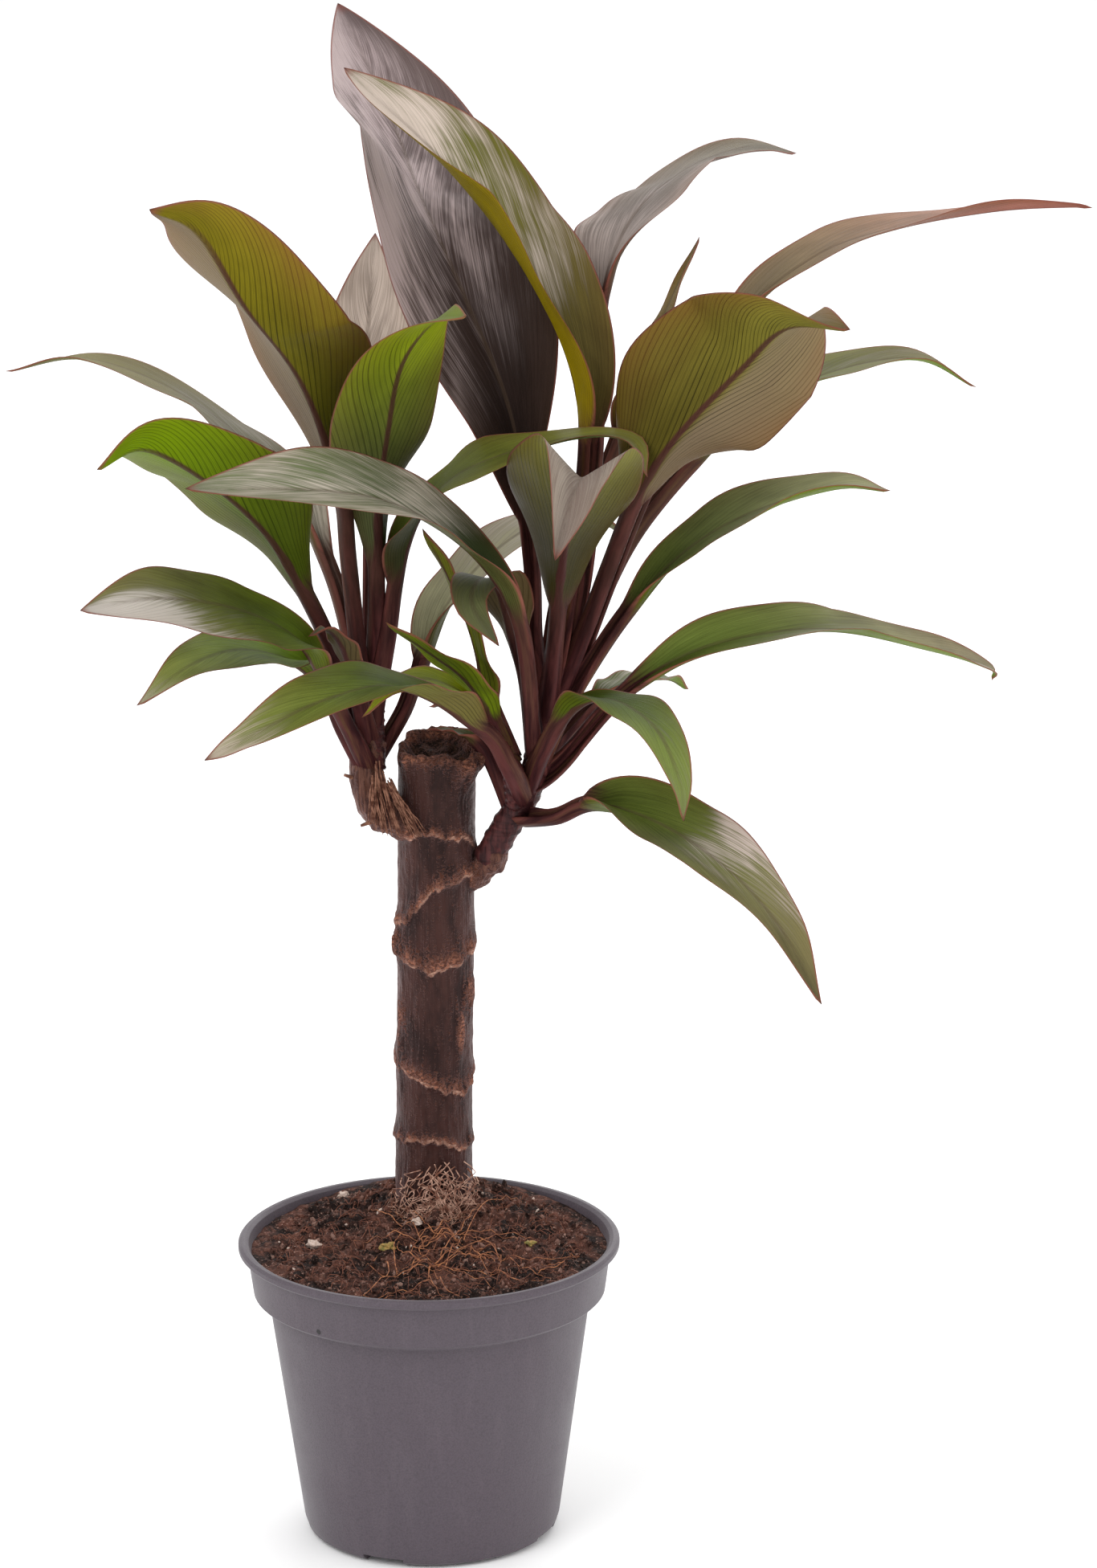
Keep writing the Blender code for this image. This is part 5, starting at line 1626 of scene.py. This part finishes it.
def crumb_tree(material):
    """Strews lumpy crumbs over a bed, between a smallest and a largest size."""
    tree, given, end = geometry_tree("crumbs", {
        "Per square cm": 10.0, "Smallest": 0.5, "Largest": 1.5, "Seed": 1, "Within": 60.0,
        "Keep bed": 1,
    })
    bed = given["Geometry"]
    upward = worked_out("GREATER_THAN", parts_of(shaped(tree, "InputNormal"))[2], STEEPEST_BED)
    x, y, _ = parts_of(shaped(tree, "InputPosition"))
    inside = worked_out("LESS_THAN", root(x * x + y * y), given["Within"])
    points = shaped(tree, "DistributePointsOnFaces", {
        "Mesh": bed, "Selection": upward * inside, "Density": given["Per square cm"] / 100.0,
        "Seed": given["Seed"],
    }, "Points")
    ball = {"Segments": CRUMB_SEGMENTS, "Rings": CRUMB_RINGS, "Radius": 1.0}
    lump = shaped(tree, "MeshUVSphere", ball)
    place = shaped(tree, "InputPosition")
    knobs = added(tree, "ShaderNodeTexNoise", {"Vector": place, "Scale": CRUMB_KNOBS}, "Color")
    knobbly = (knobs - (0.5, 0.5, 0.5)) * CRUMB_UNEVENNESS
    lump = shaped(tree, "SetPosition", {"Geometry": lump, "Offset": knobbly})
    tumble, shape = (
        added(tree, "FunctionNodeRandomValue", dict(enumerate(span)), data_type="FLOAT_VECTOR")
        for span in (CRUMB_TURNS, CRUMB_SHAPES))
    size = random_share(tree, given["Seed"]) ** 3.0
    size = given["Smallest"] + (given["Largest"] - given["Smallest"]) * size
    crumbs = shaped(tree, "InstanceOnPoints", {
        "Points": points, "Instance": lump, "Rotation": tumble, "Scale": shape * size,
    })
    crumbs = marked(tree, crumbs, "tone", random_share(tree, given["Seed"] + 1.0), "INSTANCE")
    kept = shaped(tree, "Switch", {"Switch": given["Keep bed"], "True": bed}, input_type="GEOMETRY")
    kept = marked(tree, kept, "tone", BED_TONE)
    finished(tree, end, joined(tree, kept, crumbs), material)
    return tree


def strand_tree(material):
    """Turns paths into thin strands that taper to their far end."""
    tree, given, end = geometry_tree("strands", {"Thickness": 0.3, "Taper": 0.6})
    paths = shaped(tree, "MeshToCurve", {"Mesh": given["Geometry"]})
    share = shaped(tree, "SplineParameter")
    radius = given["Thickness"] / 2.0 * (1.0 - share * given["Taper"])
    finished(tree, end, tube(tree, paths, radius, STRAND_SIDES), material)
    return tree


def lying_strand(dice, x, y, lengths, lifts, points):
    """A path over the soil from a place, wandering and arching off the ground a little."""
    length = dice.uniform(*lengths)
    lift = dice.uniform(*lifts)
    heading = dice.uniform(0, math.tau)
    turn = dice.gauss(0, STRAND_BEND)
    path = []
    for step in range(points):
        arch = lift * math.sin(math.pi * step / (points - 1))
        path.append((x, y, soil_height(x, y) + STRAND_CLEARANCE + arch))
        turn += dice.gauss(0, STRAND_BEND_CHANGE)
        heading += turn
        x += length / points * math.cos(heading)
        y += length / points * math.sin(heading)
        if math.hypot(x, y) > STRAND_REACH:
            heading += math.pi / 2
    return path


def peat_fibre(dice):
    """A short fibre anywhere on the soil."""
    away = STRAND_REACH * math.sqrt(dice.random())
    side = dice.uniform(0, math.tau)
    x, y = away * math.cos(side), away * math.sin(side)
    return lying_strand(dice, x, y, FIBRE_LENGTHS, FIBRE_LIFTS, FIBRE_POINTS)


def orange_root(dice):
    """A long wiry root that starts in front of the cane."""
    x, y = (dice.gauss(middle, spread) for middle, spread in zip(ROOT_MIDDLE, ROOT_SPREAD))
    return lying_strand(dice, x, y, ROOT_LENGTHS, ROOT_LIFTS, ROOT_POINTS)


def clinging_strand(dice):
    """A path down the foot of the cane and out over the soil."""
    angle = math.radians(dice.gauss(CLINGING_SIDE, CLINGING_SPREAD))
    high_share = max(math.cos(angle - math.radians(CLINGING_HIGHEST_SIDE)), CLINGING_LOW_SHARE)
    start = SOIL_EDGE_HEIGHT + SOIL_HEAP + dice.uniform(*CLINGING_HEIGHTS) * high_share
    reach = dice.uniform(*CLINGING_REACHES)
    middle = cane_middle(start)
    path = []
    for step in range(CLINGING_POINTS):
        share = step / (CLINGING_POINTS - 1)
        angle += dice.gauss(0, CLINGING_WANDER)
        radius = CANE_RADIUS + CLINGING_GAP + dice.uniform(0, CLINGING_DEPTH) + reach * share**2
        x = middle[0] + radius * math.cos(angle)
        y = middle[1] + radius * math.sin(angle)
        ground = soil_height(x, y) + CLINGING_CLEARANCE
        path.append((x, y, max(start + (ground - start) * share * CLINGING_FALL, ground)))
    return path


def husk_strand(dice):
    """A path of the dried leaf base that fans from the left shoot down to the scar below it."""
    spread = dice.random()
    depth = dice.uniform(*HUSK_TOP_DEPTHS)
    fray = abs(dice.gauss(0, HUSK_TOP_FRAY)) * (1 - HUSK_TOP_EVENING * spread)
    left, front, height = HUSK_TOP
    top = Vector((left + HUSK_TOP_WIDTH * spread, front + depth, height + fray))
    x = HUSK_FOOT_LEFT + HUSK_FOOT_WIDTH * spread + dice.gauss(0, HUSK_FOOT_FRAY)
    middle = cane_middle(HUSK_SCAR_HEIGHT)
    reach = (CANE_RADIUS + HUSK_GAP) ** 2 - (x - middle[0]) ** 2
    free, held = HUSK_FURTHEST_BACK
    y = min(middle[1] - math.sqrt(max(reach, 0.0)), free if x < HUSK_FREE_SIDE else held)
    z = HUSK_FOOT_HEIGHT + HUSK_FOOT_CLIMB * max(HUSK_CLIMB_START - x, 0.0)
    foot = Vector((x, y, z + dice.gauss(0, HUSK_FOOT_FRAY)))
    lift = dice.uniform(*HUSK_LIFTS)
    path = []
    for step in range(HUSK_POINTS):
        share = step / (HUSK_POINTS - 1)
        bulge = Vector((dice.gauss(0, HUSK_WANDER), -lift, HUSK_ARCH)) * math.sin(math.pi * share)
        path.append(top.lerp(foot, share) + bulge)
    return path


def chip(x, y, size):
    """An uneven chip of grit that lies on the soil."""
    (broad, broad_rise), (fine, fine_rise) = CHIP_LUMPS
    bm = bmesh.new()
    bmesh.ops.create_icosphere(bm, subdivisions=3, radius=size / 2)
    for vert in bm.verts:
        lump = broad_rise * noise.noise(vert.co * broad / size + Vector((x, y, 0)))
        vert.co *= 1.0 + lump + fine_rise * noise.noise(vert.co * fine / size)
        vert.co.z *= CHIP_FLATNESS
    bmesh.ops.translate(bm, vec=(x, y, soil_height(x, y) + CHIP_SHARE_ABOVE * size), verts=bm.verts)
    return bm


def build_soil(peat, grit):
    """The soil with its crumbs, white grit strewn on it, and a few larger chips and pebbles."""
    bed = soil_bed()
    soil = grown("soil_fine", bed.copy(), crumb_tree(peat), CRUMBS)
    finish_piece(soil, "potting_soil", "soil")
    white = grown("white_grit", bed.copy(), crumb_tree(grit), WHITE_GRIT)
    finish_piece(white, "potting_soil")
    pebble = plain_speckled("yellow_pebble", PEBBLE_YELLOW, PEBBLE_GREEN, size=1.5, roughness=0.6)
    for name, (x, y, size) in CHIPS.items():
        piece = object_from(name, chip(x, y, size), pebble if "pebble" in name else grit)
        finish_piece(piece, "potting_soil")


def build_strands():
    """Peat fibres, wiry orange roots, the pale mass at the cane's foot, and the dried husk."""
    dice = random.Random(STRAND_SEED)
    fibres = [peat_fibre(dice) for _ in range(PEAT_FIBRES)]
    roots = [orange_root(dice) for _ in range(ORANGE_ROOTS)]
    mass = [clinging_strand(dice) for _ in range(PALE_ROOTS)]
    husk = [husk_strand(dice) for _ in range(HUSK_STRANDS)]
    for name, paths, colour, second, thickness, slot in (
        ("peat_fibres", fibres, PEAT_FIBRE, PEAT_RED, 0.32, "potting_soil"),
        ("orange_roots", roots, ROOT_ORANGE, ROOT_BROWN, 0.4, "potting_soil"),
        ("pale_roots", mass, ROOT_PALE, ROOT_BROWN, 0.42, "cane_bark"),
        ("husk", husk, HUSK_TAN, SCAR_DARK, 0.55, "cane_bark"),
        ("husk_spurs", HUSK_SPURS, HUSK_TAN, SCAR_DARK, 2.4, "cane_bark"),
    ):
        tree = strand_tree(plain_speckled(name, colour, second, size=2.0, roughness=0.7))
        finish_piece(grown(name, path_mesh(name, *paths), tree, {"Thickness": thickness}), slot)


# Studio


def add_camera():
    """The camera, as the photograph was taken."""
    camera = bpy.data.cameras.new("camera")
    camera.lens = FOCAL_LENGTH_IN_PIXELS * SENSOR_HEIGHT / PICTURE_HEIGHT
    camera.sensor_width = SENSOR_HEIGHT
    camera.clip_end = FAR_CLIP * MM
    holder = placed("camera", camera)
    tilt = Matrix.Rotation(math.radians(90.0 - CAMERA_PITCH), 4, "X")
    roll = Matrix.Rotation(math.radians(-CAMERA_ROLL), 4, "Z")
    holder.matrix_world = Matrix.Translation(Vector(CAMERA_PLACE) * MM) @ tilt @ roll
    bpy.context.scene.camera = holder


def add_lamp(name, place, size, power):
    """A square soft light that faces the middle of the plant. Place and size are in metres."""
    lamp = bpy.data.lights.new(name, "AREA")
    lamp.size = size
    lamp.energy = power
    holder = placed(name, lamp)
    holder.location = place
    holder.rotation_euler = (Vector(LAMP_AIM) - Vector(place)).to_track_quat("-Z", "Y").to_euler()


def add_studio():
    """Soft white daylight, the lamps, and a floor of pale paper."""
    scene = bpy.context.scene
    scene.view_settings.view_transform = "Standard"
    scene.world = bpy.data.worlds.new("soft_daylight")
    scene.world.use_nodes = True
    sky = scene.world.node_tree.nodes["Background"]
    sky.inputs["Color"].default_value = (*WHITE, 1.0)
    sky.inputs["Strength"].default_value = 1.0
    for name, lamp in LAMPS.items():
        add_lamp(name, *lamp)
    bm = bmesh.new()
    bmesh.ops.create_grid(bm, x_segments=FLOOR_CELLS, y_segments=FLOOR_CELLS, size=FLOOR_HALF_WIDTH)
    paper, tree, shader = new_material("pale_paper", {"Roughness": 0.9})
    tone = patches(place_in_object(tree), 400.0, 0.2, 0.8)
    feed(tree, shader.inputs["Base Color"], mixed(tone, PAPER_GREY, WHITE))
    object_from("floor", bm, paper)


def main():
    """Builds the studio and every piece."""
    add_camera()
    add_studio()
    build_leaves(leaf_material())
    build_stems(stem_material())
    build_cane(bark_material())
    build_soil(
        soil_material(), plain_speckled("white_grit", GRIT_WHITE, GRIT_TAN, size=0.8, roughness=0.8))
    build_strands()
    build_pot(plastic_material())
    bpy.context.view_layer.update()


main()
